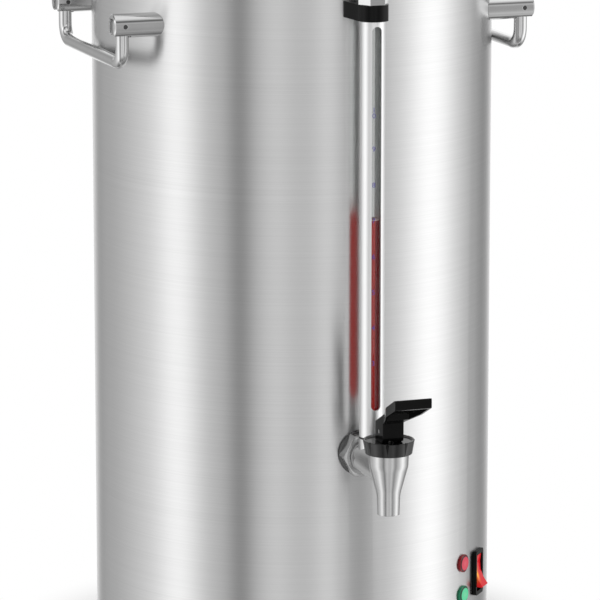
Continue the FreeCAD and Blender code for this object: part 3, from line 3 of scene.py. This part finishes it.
import bmesh
import bpy
import numpy as np
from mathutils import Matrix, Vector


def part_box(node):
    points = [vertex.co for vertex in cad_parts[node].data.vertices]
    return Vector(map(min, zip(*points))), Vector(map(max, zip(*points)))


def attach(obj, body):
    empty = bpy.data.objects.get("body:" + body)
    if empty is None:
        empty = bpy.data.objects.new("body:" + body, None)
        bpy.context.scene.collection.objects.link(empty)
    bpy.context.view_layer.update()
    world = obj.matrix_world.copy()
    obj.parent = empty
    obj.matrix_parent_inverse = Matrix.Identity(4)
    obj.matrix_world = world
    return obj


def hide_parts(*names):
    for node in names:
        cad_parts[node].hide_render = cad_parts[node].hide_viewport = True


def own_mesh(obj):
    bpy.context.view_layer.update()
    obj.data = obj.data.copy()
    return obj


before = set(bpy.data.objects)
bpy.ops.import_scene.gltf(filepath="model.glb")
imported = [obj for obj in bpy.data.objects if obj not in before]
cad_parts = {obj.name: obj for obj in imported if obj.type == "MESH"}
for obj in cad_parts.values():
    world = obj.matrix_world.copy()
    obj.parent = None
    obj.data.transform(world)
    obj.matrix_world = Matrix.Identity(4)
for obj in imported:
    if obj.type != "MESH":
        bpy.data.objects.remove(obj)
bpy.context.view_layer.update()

# The upright axes of the gauge and the tap, and the height of the level shank that joins them to the casing
GAUGE_Y = -0.1527
TAP_Y = -0.1836
SHANK_Z = 0.158

# Degrees round the casing from -y towards +x: the switch, and the two lamps
SWITCH_TURN = 49.3
LAMP_TURN = 39.3
# Distances from the urn's axis and heights of the rocker's own light and of the two lamps
ROCKER_REACH = 0.1325
ROCKER_Z = 0.0582
LAMP_REACH = 0.134
GREEN_Z = 0.0478
RED_Z = 0.0691

# The camera stands at this many degrees round the casing from -y towards -x, and looks down by VIEW_TILT
VIEW_TURN = 19.5
VIEW_PAN = 0.111
VIEW_TILT = 11.526
VIEW_REACH = 2.8379
VIEW_Z = 0.8115
LENS = 259.72


def at_bearing(degrees):
    """Level unit vector at a bearing: 0 is the camera's, and they grow anticlockwise seen from above."""
    turn = math.radians(degrees - 90 - VIEW_TURN)
    return math.cos(turn), math.sin(turn), 0.0


def round_casing(degrees, out, aside, height):
    """Place at a turn round the casing: so far out from its axis, so far aside from there, and so high."""
    turn = math.radians(degrees)
    x = out * math.sin(turn) + aside * math.cos(turn)
    y = aside * math.sin(turn) - out * math.cos(turn)
    return x, y, height


# Shader maths

class Wire:
    """An output of a node. Sums and products of wires and numbers add Math nodes."""

    def __init__(self, finish, socket):
        self.finish = finish
        self.socket = socket

    def math(self, operation, *values):
        return self.finish.node("ShaderNodeMath", {"operation": operation}, dict(enumerate(values)))

    def __add__(self, other):
        return self.math("ADD", self, other)

    def __radd__(self, other):
        return self.math("ADD", other, self)

    def __sub__(self, other):
        return self.math("SUBTRACT", self, other)

    def __rsub__(self, other):
        return self.math("SUBTRACT", other, self)

    def __mul__(self, other):
        return self.math("MULTIPLY", self, other)

    def __rmul__(self, other):
        return self.math("MULTIPLY", other, self)

    def __truediv__(self, other):
        return self.math("DIVIDE", self, other)

    def __pow__(self, other):
        return self.math("POWER", self, other)

    def bell(self, width):
        """exp(-(value / width) squared), one at zero and falling smoothly to nothing."""
        return self.math("EXPONENT", (self / width) ** 2.0 * -1.0)

    def step(self, low, high):
        """Zero below low, one above high, and a smooth rise between."""
        span = {"Value": self, "From Min": low, "From Max": high, "To Min": 0.0, "To Max": 1.0}
        return self.finish.node("ShaderNodeMapRange", {"interpolation_type": "SMOOTHSTEP"}, span)


class Finish:
    """A material, or a world, made node by node. Its patterns read Object coordinates."""

    def __init__(self, name, kind="materials"):
        self.owner = getattr(bpy.data, kind).new(name)
        self.owner.use_nodes = True
        self.tree = self.owner.node_tree
        self.tree.nodes.clear()

    def node(self, kind, settings=None, values=None, out=0):
        """Makes a node: its settings first, then the values or wires of its sockets."""
        made = self.tree.nodes.new(kind)
        for key, setting in (settings or {}).items():
            setattr(made, key, setting)
        for key, given in (values or {}).items():
            if isinstance(given, Wire):
                self.tree.links.new(given.socket, made.inputs[key])
            else:
                made.inputs[key].default_value = given
        return Wire(self, made.outputs[out] if made.outputs else None)

    def place(self, scale=(1, 1, 1), centre=(0, 0, 0)):
        """Object coordinates counted from a centre and stretched by a scale along each axis."""
        shift = tuple(-c * s for c, s in zip(centre, scale))
        spot = self.node("ShaderNodeTexCoord", out="Object")
        return self.node("ShaderNodeMapping", {"vector_type": "POINT"},
                         {"Vector": spot, "Location": shift, "Scale": scale})

    def turned(self, degrees, centre):
        """Object coordinates counted from a centre, in axes turned about the urn's axis by degrees."""
        spot = self.node("ShaderNodeTexCoord", out="Object")
        return self.node("ShaderNodeMapping", {"vector_type": "TEXTURE"},
                         {"Vector": spot, "Location": centre, "Rotation": (0, 0, math.radians(degrees))})

    def apart(self, vector, axis):
        return self.node("ShaderNodeSeparateXYZ", None, {0: vector}, axis)

    def vectors(self, operation, *values, out="Vector"):
        return self.node("ShaderNodeVectorMath", {"operation": operation}, dict(enumerate(values)), out)

    def length(self, vector):
        return self.vectors("LENGTH", vector, out="Value")

    def reach(self, centre=(0, 0, 0), flat=(1, 1, 0)):
        """Distance from a line through a centre, along the axis whose flat value is 0."""
        return self.length(self.place(flat, centre))

    def noise(self, dimensions, detail, **values):
        """Noise from 0 to 1 in one, two or three dimensions, over the values or wires given."""
        return self.node("ShaderNodeTexNoise", {"noise_dimensions": dimensions},
                         {**values, "Scale": 1.0, "Detail": detail})

    def grain(self, scale, detail=2.0, centre=(0, 0, 0)):
        """Noise from 0 to 1 whose spots are 1 / scale long on each axis."""
        return self.noise("3D", detail, Vector=self.place(scale, centre))

    def mix(self, low, high, factor):
        return self.node("ShaderNodeMix", {"data_type": "RGBA"}, {0: factor, 6: low, 7: high}, 2)

    def bump(self, height, strength, distance, edge=0.0):
        """A bumped normal. With an edge radius, sharp edges are rounded by it first."""
        values = {"Height": height, "Strength": strength, "Distance": distance}
        if edge:
            values["Normal"] = self.node("ShaderNodeBevel", {"samples": 6}, {"Radius": edge})
        return self.node("ShaderNodeBump", None, values)

    def surface(self, **values):
        """A Principled surface: words in a value's name are joined by underscores."""
        values = {key.replace("_", " "): given for key, given in values.items()}
        return self.end(self.node("ShaderNodeBsdfPrincipled", None, values))

    def end(self, shader):
        """Ends a material with its shader and gives the material."""
        self.node("ShaderNodeOutputMaterial", None, {"Surface": shader})
        return self.owner


def grey(level):
    return (level, level, level, 1.0)


# Finishes

def brushed_casing():
    """Stainless tube, brushed round and round: long level streaks, fine up and down, with cloudy wear."""
    f = Finish("brushed_casing")
    fine = f.grain((6, 6, 2400), 2.0)
    broad = f.grain((1.5, 1.5, 600), 1.0)
    cloud = f.grain((7, 7, 5), 3.0)
    streak = fine * 0.75 + broad * 0.25
    tone = f.mix(grey(0.564), grey(0.608), streak.step(0.25, 0.75))
    tint = f.mix(tone, (0.60, 0.585, 0.56, 1.0), cloud.step(0.55, 0.95) * 0.22)
    return f.surface(Base_Color=tint, Metallic=1.0, Roughness=0.27 + cloud * 0.025, Anisotropic=0.84,
                     Anisotropic_Rotation=0.25, Normal=f.bump(fine, 0.012, 0.0001))


def satin_sheet():
    """Spun stainless sheet: fine rings about the urn's axis and light wear."""
    f = Finish("satin_sheet")
    rings_per_metre = 1900.0
    radius = f.reach()
    height = f.apart(f.place(), 2)
    spun = f.node("ShaderNodeCombineXYZ", None, {0: radius * rings_per_metre, 1: height * rings_per_metre})
    rings = f.noise("2D", 2.0, Vector=spun)
    cloud = f.grain((18, 18, 18), 3.0)
    tone = f.mix(grey(0.52), grey(0.60), rings)
    return f.surface(Base_Color=tone, Metallic=1.0, Roughness=0.24 + rings * 0.08 + cloud * 0.06,
                     Anisotropic=0.5, Anisotropic_Rotation=0.25, Normal=f.bump(rings, 0.06, 0.0002))


def polished_bar():
    """Polished stainless: faint hairlines and a little handling haze."""
    f = Finish("polished_bar")
    hair = f.grain((260, 260, 1500), 3.0)
    haze = f.grain((55, 55, 55), 3.0)
    tone = f.mix(grey(0.54), grey(0.64), haze)
    return f.surface(Base_Color=tone, Metallic=1.0, Roughness=0.055 + haze * 0.05 + hair * 0.02,
                     Normal=f.bump(hair, 0.015, 0.0001, 0.0004))


def pin_steel():
    """Ends of the bails' pins: dark oiled steel."""
    f = Finish("pin_steel")
    mottle = f.grain((900, 900, 900), 3.0)
    tone = f.mix(grey(0.05), grey(0.12), mottle)
    return f.surface(Base_Color=tone, Metallic=1.0, Roughness=0.32 + mottle * 0.1,
                     Normal=f.bump(mottle, 0.05, 0.0001))


def shield_steel():
    """Gauge shield: bright satin tube outside with faint upright lines, dull and pale in its bore."""
    f = Finish("shield_steel")
    bore_radius, outer_radius = 0.0071, 0.0076
    lines = f.grain((2200, 2200, 8), 2.0)
    haze = f.grain((60, 60, 14), 3.0)
    bore = 1 - f.reach((0, GAUGE_Y, 0)).step(bore_radius, outer_radius)
    outside = f.mix(grey(0.78), grey(0.85), haze * 0.6 + lines * 0.4)
    tone = f.mix(outside, grey(0.86), bore)
    return f.surface(Base_Color=tone, Metallic=1.0 - bore * 0.7, Roughness=0.40 + haze * 0.05 + bore * 0.15,
                     Normal=f.bump(lines, 0.02, 0.0001, 0.0003))


def turned_tap():
    """Lathe-turned and polished steel: very fine level tool rings down the nozzle."""
    f = Finish("turned_tap")
    rings = f.grain((20, 20, 5200), 2.0, (0, TAP_Y, 0))
    haze = f.grain((70, 70, 40), 2.0)
    tone = f.mix(grey(0.47), grey(0.53), rings * 0.5 + haze * 0.5)
    return f.surface(Base_Color=tone, Metallic=1.0, Roughness=0.13 + rings * 0.03 + haze * 0.05,
                     Normal=f.bump(rings, 0.02, 0.0001, 0.0004))


def faced_steel(name, low, high, edge):
    """Washer or nut on the shank: faced steel, finely ringed about it, with another tone at the edge."""
    f = Finish(name)
    rings_per_metre = 5200.0
    edge_starts, edge_full = 0.0136, 0.0150
    from_shank = f.reach((0, 0, SHANK_Z), (1, 0, 1))
    rings = f.noise("1D", 2.0, W=from_shank * rings_per_metre)
    stain = f.grain((90, 90, 90), 3.0)
    tone = f.mix(grey(low), grey(high), rings * 0.4 + stain * 0.6)
    tone = f.mix(tone, grey(edge), from_shank.step(edge_starts, edge_full) * 0.7)
    return f.surface(Base_Color=tone, Metallic=1.0, Roughness=0.20 + rings * 0.03 + stain * 0.05,
                     Normal=f.bump(rings, 0.02, 0.0001, 0.0003))


def plain_steel():
    """Plated fittings that are mostly out of sight: dull, mottled steel."""
    f = Finish("plain_steel")
    mottle = f.grain((140, 140, 140), 4.0)
    tone = f.mix((0.40, 0.40, 0.39, 1.0), (0.55, 0.54, 0.52, 1.0), mottle)
    return f.surface(Base_Color=tone, Metallic=1.0, Roughness=0.30 + mottle * 0.14,
                     Normal=f.bump(mottle, 0.05, 0.0003, 0.0003))


def heater_skin():
    """Heater metal that heat has tinted brown and blue in soft clouds."""
    f = Finish("heater_skin")
    cloud = f.grain((45, 45, 45), 4.0)
    tone = f.mix((0.34, 0.27, 0.20, 1.0), (0.42, 0.41, 0.44, 1.0), cloud.step(0.35, 0.65))
    return f.surface(Base_Color=tone, Metallic=1.0, Roughness=0.32 + cloud * 0.16)


def black_moulding(name="black_moulding", gloss=0.10, sheen=0.16):
    """Black moulding: deep black, with a faint orange peel and smears of dust in its sheen."""
    f = Finish(name)
    peel = f.grain((420, 420, 420), 2.0)
    smear = f.grain((60, 60, 90), 4.0)
    tone = f.mix(grey(0.002), grey(0.005), smear)
    return f.surface(Base_Color=tone, Roughness=sheen + smear * 0.10, Specular_IOR_Level=gloss,
                     Normal=f.bump(peel, 0.03, 0.0001, 0.0007))


def pale_block():
    """Off-white heat-proof block: fine speckle and a dull surface."""
    f = Finish("pale_block")
    speck = f.grain((700, 700, 700), 3.0)
    tone = f.mix((0.66, 0.63, 0.56, 1.0), (0.78, 0.76, 0.70, 1.0), speck)
    return f.surface(Base_Color=tone, Roughness=0.55 + speck * 0.1, Normal=f.bump(speck, 0.1, 0.0002))


def foot_rubber():
    """Black rubber: matt, with a fine rubbed grain."""
    f = Finish("foot_rubber")
    rub = f.grain((520, 520, 520), 4.0)
    tone = f.mix(grey(0.012), grey(0.035), rub)
    return f.surface(Base_Color=tone, Roughness=0.62 + rub * 0.2, Normal=f.bump(rub, 0.2, 0.0003))


def seal_silicone():
    """Off-white silicone: milky and faintly uneven."""
    f = Finish("seal_silicone")
    cloud = f.grain((120, 120, 120), 3.0)
    tone = f.mix((0.58, 0.56, 0.52, 1.0), (0.68, 0.66, 0.62, 1.0), cloud)
    return f.surface(Base_Color=tone, Roughness=0.40 + cloud * 0.12, Subsurface_Weight=0.1,
                     Subsurface_Radius=(0.002, 0.002, 0.002), Normal=f.bump(cloud, 0.08, 0.0003))


def clear_glass():
    """Clear gauge glass, very faintly clouded by water marks."""
    f = Finish("clear_glass")
    marks = f.grain((300, 300, 60), 4.0)
    tone = f.mix((0.95, 0.97, 0.96, 1.0), (0.99, 0.995, 0.99, 1.0), marks)
    return f.surface(Base_Color=tone, Roughness=0.0, IOR=1.36, Transmission_Weight=1.0)


def dark_brew():
    """Coffee in the tube: dark red, with painted shade on its +x side, and a painted glow all through that
    is strongest at its back.
    """
    f = Finish("dark_brew")
    swirl = f.grain((40, 40, 12), 2.0)
    # Masks for painted light: the back half of the coffee, where a brighter glow is painted, and its +x
    # side, where shade is painted
    behind = f.apart(f.place((1, 1, 1), (0, GAUGE_Y, 0)), 1).step(0.0, 0.002)
    across = f.apart(f.place(), 0).step(-0.0002, 0.0006)
    tone = f.mix((0.22, 0.014, 0.014, 1.0), (0.30, 0.022, 0.020, 1.0), swirl)
    # Painted shade: the +x side of the coffee made darker
    tone = f.mix(tone, (0.075, 0.004, 0.006, 1.0), across)
    # Painted light: the coffee glows though it is no lamp, weaker on its shaded +x side and strongest at its
    # back
    glow = f.mix((0.12, 0.008, 0.007, 1.0), (0.055, 0.0015, 0.0018, 1.0), across)
    glow = f.mix(glow, (0.34, 0.016, 0.012, 1.0), behind)
    return f.surface(Base_Color=tone, Roughness=0.35 + swirl * 0.05, IOR=1.34, Specular_IOR_Level=0.15,
                     Emission_Color=glow, Emission_Strength=1.0)


def meniscus_film():
    """Thin edge of the coffee on the glass: pale, glossy and faintly mottled."""
    f = Finish("meniscus_film")
    tone = f.mix((0.55, 0.40, 0.38, 1.0), (0.75, 0.62, 0.60, 1.0), f.grain((500, 500, 500), 2.0))
    return f.surface(Base_Color=tone, Roughness=0.1, IOR=1.34)


def gauge_ink():
    """Blue print on the glass, slightly thin in places."""
    f = Finish("gauge_ink")
    thin = f.grain((1800, 1800, 1800), 3.0)
    tone = f.mix((0.045, 0.04, 0.30, 1.0), (0.11, 0.10, 0.46, 1.0), thin)
    return f.surface(Base_Color=tone, Roughness=0.45 + thin * 0.2)


def rocker_glow():
    """Red rocker lit from behind: yellow by its light, deeper away from it, under a clear gloss."""
    f = Finish("rocker_glow")
    aside, glow_size = -0.0036, 0.0034
    cloud = f.grain((260, 260, 260), 3.0)
    spot = f.turned(SWITCH_TURN, round_casing(SWITCH_TURN, ROCKER_REACH, aside, ROCKER_Z))
    near = f.length(f.vectors("MULTIPLY", spot, (1.8, 1.0, 0.75))).bell(glow_size)
    tone = f.mix((0.60, 0.006, 0.012, 1.0), (0.74, 0.012, 0.022, 1.0), cloud)
    glow = f.mix((0.14, 0.003, 0.005, 1.0), (0.85, 0.62, 0.02, 1.0), near)
    return f.surface(Base_Color=tone, Roughness=0.10 + cloud * 0.06, Specular_IOR_Level=0.4,
                     Emission_Color=glow, Emission_Strength=1.0, Normal=f.bump(cloud, 0.03, 0.0001, 0.0006))


def lamp_glow(name, height, face, rim):
    """Lamp at a height: a bright face, a black ring round it where no light reaches, and a deeper rim."""
    f = Finish(name)
    centre_radius, face_radius, ring_radius, rim_radius, ring_width = 0.003, 0.0046, 0.0050, 0.0053, 0.0005
    spot = f.turned(LAMP_TURN, round_casing(LAMP_TURN, LAMP_REACH, 0.0, height))
    from_axis = f.length(f.vectors("MULTIPLY", spot, (1, 0, 1)))
    cloud = f.grain((260, 260, 260), 3.0)
    ring = (from_axis - ring_radius).bell(ring_width)
    centre = 1 - from_axis.step(0.0, centre_radius)
    pale = f.mix(face, (1.0, 0.55, 0.55, 1.0), centre * 0.06 + cloud * 0.05)
    tone = f.mix(pale, rim, from_axis.step(face_radius, rim_radius))
    tone = f.mix(tone, grey(0.002), ring)
    return f.surface(Base_Color=tone, Roughness=0.12 + cloud * 0.06, Specular_IOR_Level=0.35,
                     Emission_Color=tone, Emission_Strength=0.22, Normal=f.bump(cloud, 0.03, 0.0001, 0.0004))


# A finish for each slot of the record, and own finishes for the pieces that differ from their slot
FINISHES = {
    "casing_steel": brushed_casing(), "sheet_steel": satin_sheet(), "polished_steel": polished_bar(),
    "tap_steel": turned_tap(), "hidden_steel": plain_steel(), "heater_metal": heater_skin(),
    "black_plastic": black_moulding(), "block_plastic": pale_block(), "black_rubber": foot_rubber(),
    "silicone": seal_silicone(), "gauge_glass": clear_glass(), "coffee": dark_brew(),
    "red_lens": rocker_glow(),
    "green_lens": lamp_glow("green_glow", GREEN_Z, (0.05, 0.56, 0.27, 1.0), (0.006, 0.16, 0.075, 1.0)),
}
OWN_FINISHES = {
    "gauge_shield": shield_steel(),
    "outer_washer": faced_steel("washer_steel", 0.12, 0.19, 0.04),
    "outer_nut": faced_steel("nut_steel", 0.42, 0.52, 0.30),
    "bail_pins": pin_steel(),
    "tap_bonnet": black_moulding("bonnet_moulding", 0.5, 0.10),
    "tap_lever": black_moulding("lever_moulding", 0.14, 0.07),
    "lower_gauge_seal": FINISHES["black_rubber"],
    "red_lamp": lamp_glow("red_glow", RED_Z, (0.56, 0.02, 0.055, 1.0), (0.18, 0.001, 0.004, 1.0)),
}


def dress(part, finish):
    """Gives a part one finish on all its faces."""
    for place in part.material_slots:
        place.material = finish


for name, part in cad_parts.items():
    dress(part, OWN_FINISHES.get(name) or FINISHES[part.material_slots[0].material.name])


# Pieces

def grid_object(name, points, faces, finish):
    """A mesh object at the origin from an array of points and a list of faces."""
    mesh = bpy.data.meshes.new(name)
    mesh.from_pydata(points.reshape(-1, 3), [], faces)
    mesh.materials.append(finish)
    made = bpy.data.objects.new(name, mesh)
    bpy.context.scene.collection.objects.link(made)
    return made


def piece(name, points, faces, finish, body):
    """A smooth piece of the urn on a body, with the given finish for its material."""
    made = grid_object(name, points, faces, finish)
    made.data.polygons.foreach_set("use_smooth", np.full(len(faces), True))
    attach(made, body)
    return made


def ring_faces(rows, columns, closed_rows=False):
    """Quads of a grid that closes round its columns, and along its rows too if asked."""
    last = rows if closed_rows else rows - 1
    i, j = np.meshgrid(np.arange(last), np.arange(columns), indexing="ij")
    down, on = (i + 1) % rows, (j + 1) % columns
    corners = (i * columns + j, i * columns + on, down * columns + on, down * columns + j)
    return np.stack(corners, axis=-1).reshape(-1, 4).tolist()


def flat_figure(word, tall):
    """Points and faces of a flat figure about its middle, each edge cut in four so that it can bend."""
    curve = bpy.data.curves.new("figure", "FONT")
    curve.body, curve.size = word, tall
    curve.align_x = curve.align_y = "CENTER"
    text = bpy.data.objects.new("figure", curve)
    flat = bpy.data.meshes.new_from_object(text)
    shape = bmesh.new()
    shape.from_mesh(flat)
    bmesh.ops.triangulate(shape, faces=shape.faces)
    bmesh.ops.subdivide_edges(shape, edges=shape.edges, cuts=3, use_grid_fill=True)
    shape.to_mesh(flat)
    shape.free()
    spots = np.empty(len(flat.vertices) * 3)
    flat.vertices.foreach_get("co", spots)
    corners = np.empty(len(flat.loops), dtype=np.int32)
    flat.loops.foreach_get("vertex_index", corners)
    starts = np.empty(len(flat.polygons), dtype=np.int32)
    flat.polygons.foreach_get("loop_start", starts)
    bpy.data.objects.remove(text)
    bpy.data.curves.remove(curve)
    bpy.data.meshes.remove(flat)
    return spots.reshape(-1, 3), np.split(corners, starts[1:])


def gauge_figures():
    """Litre figures printed on the glass: plain numbers, each bent round the tube so that the length along
    its line becomes an angle of length / radius. The last stands as two figures, one over the other."""
    radius, turn, tall = 0.00579, math.radians(12), 0.0045
    zero_litres, per_litre = 0.153, 0.023
    marks = [(str(litres), litres, 0.0) for litres in range(3, 10)]
    marks += [("1", 10, 0.00187), ("0", 10, -0.00186)]
    points, faces, count = [], [], 0
    for word, litres, lift in marks:
        spots, flat_faces = flat_figure(word, tall)
        angle = spots[:, 0] / radius - turn
        level = zero_litres + per_litre * litres + lift + spots[:, 1]
        points.append(np.stack((radius * np.sin(angle), GAUGE_Y - radius * np.cos(angle), level), axis=-1))
        faces += [(count + face).tolist() for face in flat_faces]
        count += len(spots)
    made = piece("gauge_figures", np.concatenate(points), faces, gauge_ink(), "root")
    ink = made.modifiers.new("ink", "SOLIDIFY")
    ink.thickness, ink.offset = 0.00003, -1.0


def meniscus():
    """Edge of the coffee where it climbs the glass: a closed profile carried round the gauge's axis. Its
    top stands up by climb times (1 - share of the way in from the glass) squared, and a level floor
    closes it below."""
    glass, width, floor_radius = 0.00445, 0.0012, 0.0036
    top, climb, bottom = 0.31405, 0.0009, 0.31385
    inwards = np.linspace(0, 1, 9)
    r = np.concatenate((glass - width * inwards, (floor_radius, glass)))
    z = np.concatenate((top + climb * (1 - inwards) ** 2, (bottom, bottom)))
    v = np.linspace(0, 2 * math.pi, 64, endpoint=False)
    x, y = np.outer(r, np.cos(v)), GAUGE_Y + np.outer(r, np.sin(v))
    points = np.stack((x, y, np.outer(z, np.ones_like(v))), axis=-1)
    faces = ring_faces(len(r), len(v), closed_rows=True)
    piece("coffee_meniscus", points, faces, meniscus_film(), "root")


def coil_spring():
    """Spring of the tap: round wire carried along a helix. At angle a along the coil, its line is
    (R cos a, R sin a) and climbs evenly, and at angle u round the wire the point lies w cos u outwards and
    w sin u across. A fan closes each end."""
    low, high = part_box("tap_spring")
    coil, wire, turns = 0.0044, 0.0005, 4
    a = np.linspace(0, 2 * math.pi * turns, 200)
    u = np.linspace(0, 2 * math.pi, 14, endpoint=False)
    climb = high[2] - low[2] - 2 * wire
    line = np.stack((coil * np.cos(a), TAP_Y + coil * np.sin(a), low[2] + wire + climb * a / a[-1]), axis=-1)
    along = np.stack((-coil * np.sin(a), coil * np.cos(a), np.full_like(a, climb / a[-1])), axis=-1)
    along /= np.linalg.norm(along, axis=1, keepdims=True)
    outwards = np.stack((np.cos(a), np.sin(a), np.zeros_like(a)), axis=-1)
    across = np.cross(along, outwards)
    cosine, sine = np.cos(u)[None, :, None], np.sin(u)[None, :, None]
    ring = wire * (outwards[:, None] * cosine + across[:, None] * sine)
    points = np.concatenate(((line[:, None] + ring).reshape(-1, 3), line[[0, -1]]))
    count, last, j = len(a) * len(u), (len(a) - 1) * len(u), np.arange(len(u))
    on = (j + 1) % len(u)
    start = np.stack((np.full_like(j, count), on, j), axis=-1).tolist()
    end = np.stack((np.full_like(j, count + 1), last + j, last + on), axis=-1).tolist()
    made = piece("coil_spring", points, ring_faces(len(a), len(u)) + start + end, FINISHES["hidden_steel"],
                 "root")
    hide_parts("tap_spring")
    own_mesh(made)


gauge_figures()
meniscus()
coil_spring()


# Studio

# Bearing and width in degrees and strength of each soft box and each dark screen round the studio
SOFT_BOXES = ((-69, 14, 0.74), (-88, 18, 0.22), (-9, 8, 0.20), (21, 7, 0.30), (88, 20, 1.0), (180, 16, 0.5))
SCREENS = ((-134, 20, -0.20), (-150, 9, -0.26), (-46, 8, -0.06), (-30, 7, -0.50), (40, 9, -0.32),
           (130, 10, -0.1), (147, 15, -0.44))
WALL_LIGHT = 0.8
OVERHEAD_LIGHT = 1.15
# Name, bearing, height, distance from the urn's axis, size and watts of each lamp. They aim at AIM_Z.
STUDIO_LAMPS = (("key_lamp", -48, 2.2, 2.4, 1.4, 26), ("fill_lamp", 70, 1.6, 2.6, 1.8, 14))
AIM_Z = 0.25


def wall_finish():
    """What steel and gloss reflect: pale walls with soft boxes and dark screens at bearings from the camera.

    Brightness = WALL_LIGHT plus, for each soft box or screen, strength times exp(-(angle from its bearing /
    width) squared), levelled overhead. At every bearing a brighter band crosses it at 26 degrees up, and
    darker ones at 41 degrees up and 67 degrees down."""
    f = Finish("studio_walls")
    level = f.vectors("NORMALIZE", f.place((1, 1, 0)))
    light = WALL_LIGHT
    for bearing, width, strength in SOFT_BOXES + SCREENS:
        facing = f.vectors("DOT_PRODUCT", level, at_bearing(bearing), out="Value")
        # Kept just under 1, where the arc cosine ends
        light = light + facing.math("ARCCOSINE", facing * 0.99999).bell(math.radians(width)) * strength
    # Sine of the angle up
    lift = f.apart(f.vectors("NORMALIZE", f.place()), 2)
    above = lift.step(0.78, 0.97)
    bands = 1 - (lift - 0.66).bell(0.09) * 0.72 - (lift + 0.92).bell(0.13) * 0.6
    bands = bands + (lift - 0.44).bell(0.06) * 0.35
    brightness = (light * (1 - above) + above * OVERHEAD_LIGHT) * bands
    return f.end(f.node("ShaderNodeEmission", None, {"Strength": brightness}))


def studio_walls():
    """Ball round the studio: at latitude u and longitude v, (cos u cos v, cos u sin v, sin u) times its
    radius. The latitudes run downwards, so that its faces look inwards."""
    radius, across, around = 12.0, 24, 48
    u = np.linspace(math.pi / 2, -math.pi / 2, across)
    v = np.linspace(0, 2 * math.pi, around, endpoint=False)
    uu, vv = np.meshgrid(u, v, indexing="ij")
    points = radius * np.stack((np.cos(uu) * np.cos(vv), np.cos(uu) * np.sin(vv), np.sin(uu)), axis=-1)
    made = grid_object("studio_walls", points, ring_faces(across, around), wall_finish())
    made.visible_camera = made.visible_diffuse = made.visible_transmission = made.visible_shadow = False
    return made


def floor_finish():
    """Pale floor that takes a soft shadow near the urn and runs out into plain white."""
    f = Finish("floor_paint")
    mottle = f.grain((9, 9, 9), 3.0)
    tone = f.mix(grey(0.86), grey(0.90), mottle)
    near = f.node("ShaderNodeBsdfDiffuse", None, {"Color": tone, "Roughness": 0.5})
    far = f.node("ShaderNodeEmission", None, {"Strength": 1.0})
    paint_ends, all_white = 0.11, 0.21
    edge = f.reach().step(paint_ends, all_white)
    return f.end(f.node("ShaderNodeMixShader", None, {0: edge, 1: near, 2: far}))


def floor():
    """Flat disc: its radius grows with the square of the first parameter, and the second goes round. The
    rows run inwards, so that its faces look up."""
    radius, across, around = 9.0, 40, 96
    r = radius * np.linspace(1, 0, across) ** 2
    v = np.linspace(0, 2 * math.pi, around, endpoint=False)
    rr, vv = np.meshgrid(r, v, indexing="ij")
    points = np.stack((rr * np.cos(vv), rr * np.sin(vv), 0 * rr), axis=-1)
    made = grid_object("floor", points, ring_faces(across, around), floor_finish())
    made.visible_glossy = False
    return made


def air():
    """Even light from all sides, weaker on dull surfaces than where it is seen or mirrored."""
    f = Finish("studio_air", "worlds")
    seen = f.node("ShaderNodeLightPath", out="Is Camera Ray")
    for ray in ("Is Glossy Ray", "Is Transmission Ray"):
        seen = seen.math("MAXIMUM", seen, f.node("ShaderNodeLightPath", out=ray))
    light = f.node("ShaderNodeBackground", None, {"Color": grey(1.0), "Strength": 0.62 + seen * 0.38})
    f.node("ShaderNodeOutputWorld", None, {"Surface": light})
    bpy.context.scene.world = f.owner


def lamps():
    """Large soft lamps at their bearings, aimed at the middle of the urn and kept out of reflections."""
    for name, bearing, height, away, size, power in STUDIO_LAMPS:
        lamp = bpy.data.lights.new(name, "AREA")
        lamp.size = size
        lamp.energy = power
        made = bpy.data.objects.new(name, lamp)
        bpy.context.scene.collection.objects.link(made)
        x, y, _ = at_bearing(bearing)
        made.location = (x * away, y * away, height)
        aim = np.array((-x * away, -y * away, AIM_Z - height))
        made.rotation_euler = (math.acos(-aim[2] / np.linalg.norm(aim)), 0,
                               math.atan2(aim[1], aim[0]) - math.pi / 2)
        made.visible_glossy = False


def camera():
    """Camera at the photograph's angle, with a long lens."""
    lens = bpy.data.cameras.new("camera")
    lens.lens = LENS
    lens.sensor_width = 36.0
    lens.clip_end = 100.0
    made = bpy.data.objects.new("camera", lens)
    bpy.context.scene.collection.objects.link(made)
    x, y, _ = at_bearing(0)
    made.location = (VIEW_REACH * x, VIEW_REACH * y, VIEW_Z)
    made.rotation_euler = (math.radians(90 - VIEW_TILT), 0, -math.radians(VIEW_TURN + VIEW_PAN))
    bpy.context.scene.camera = made


walls = studio_walls()
floor()
air()
lamps()
camera()
bpy.context.scene.view_settings.view_transform = "Standard"
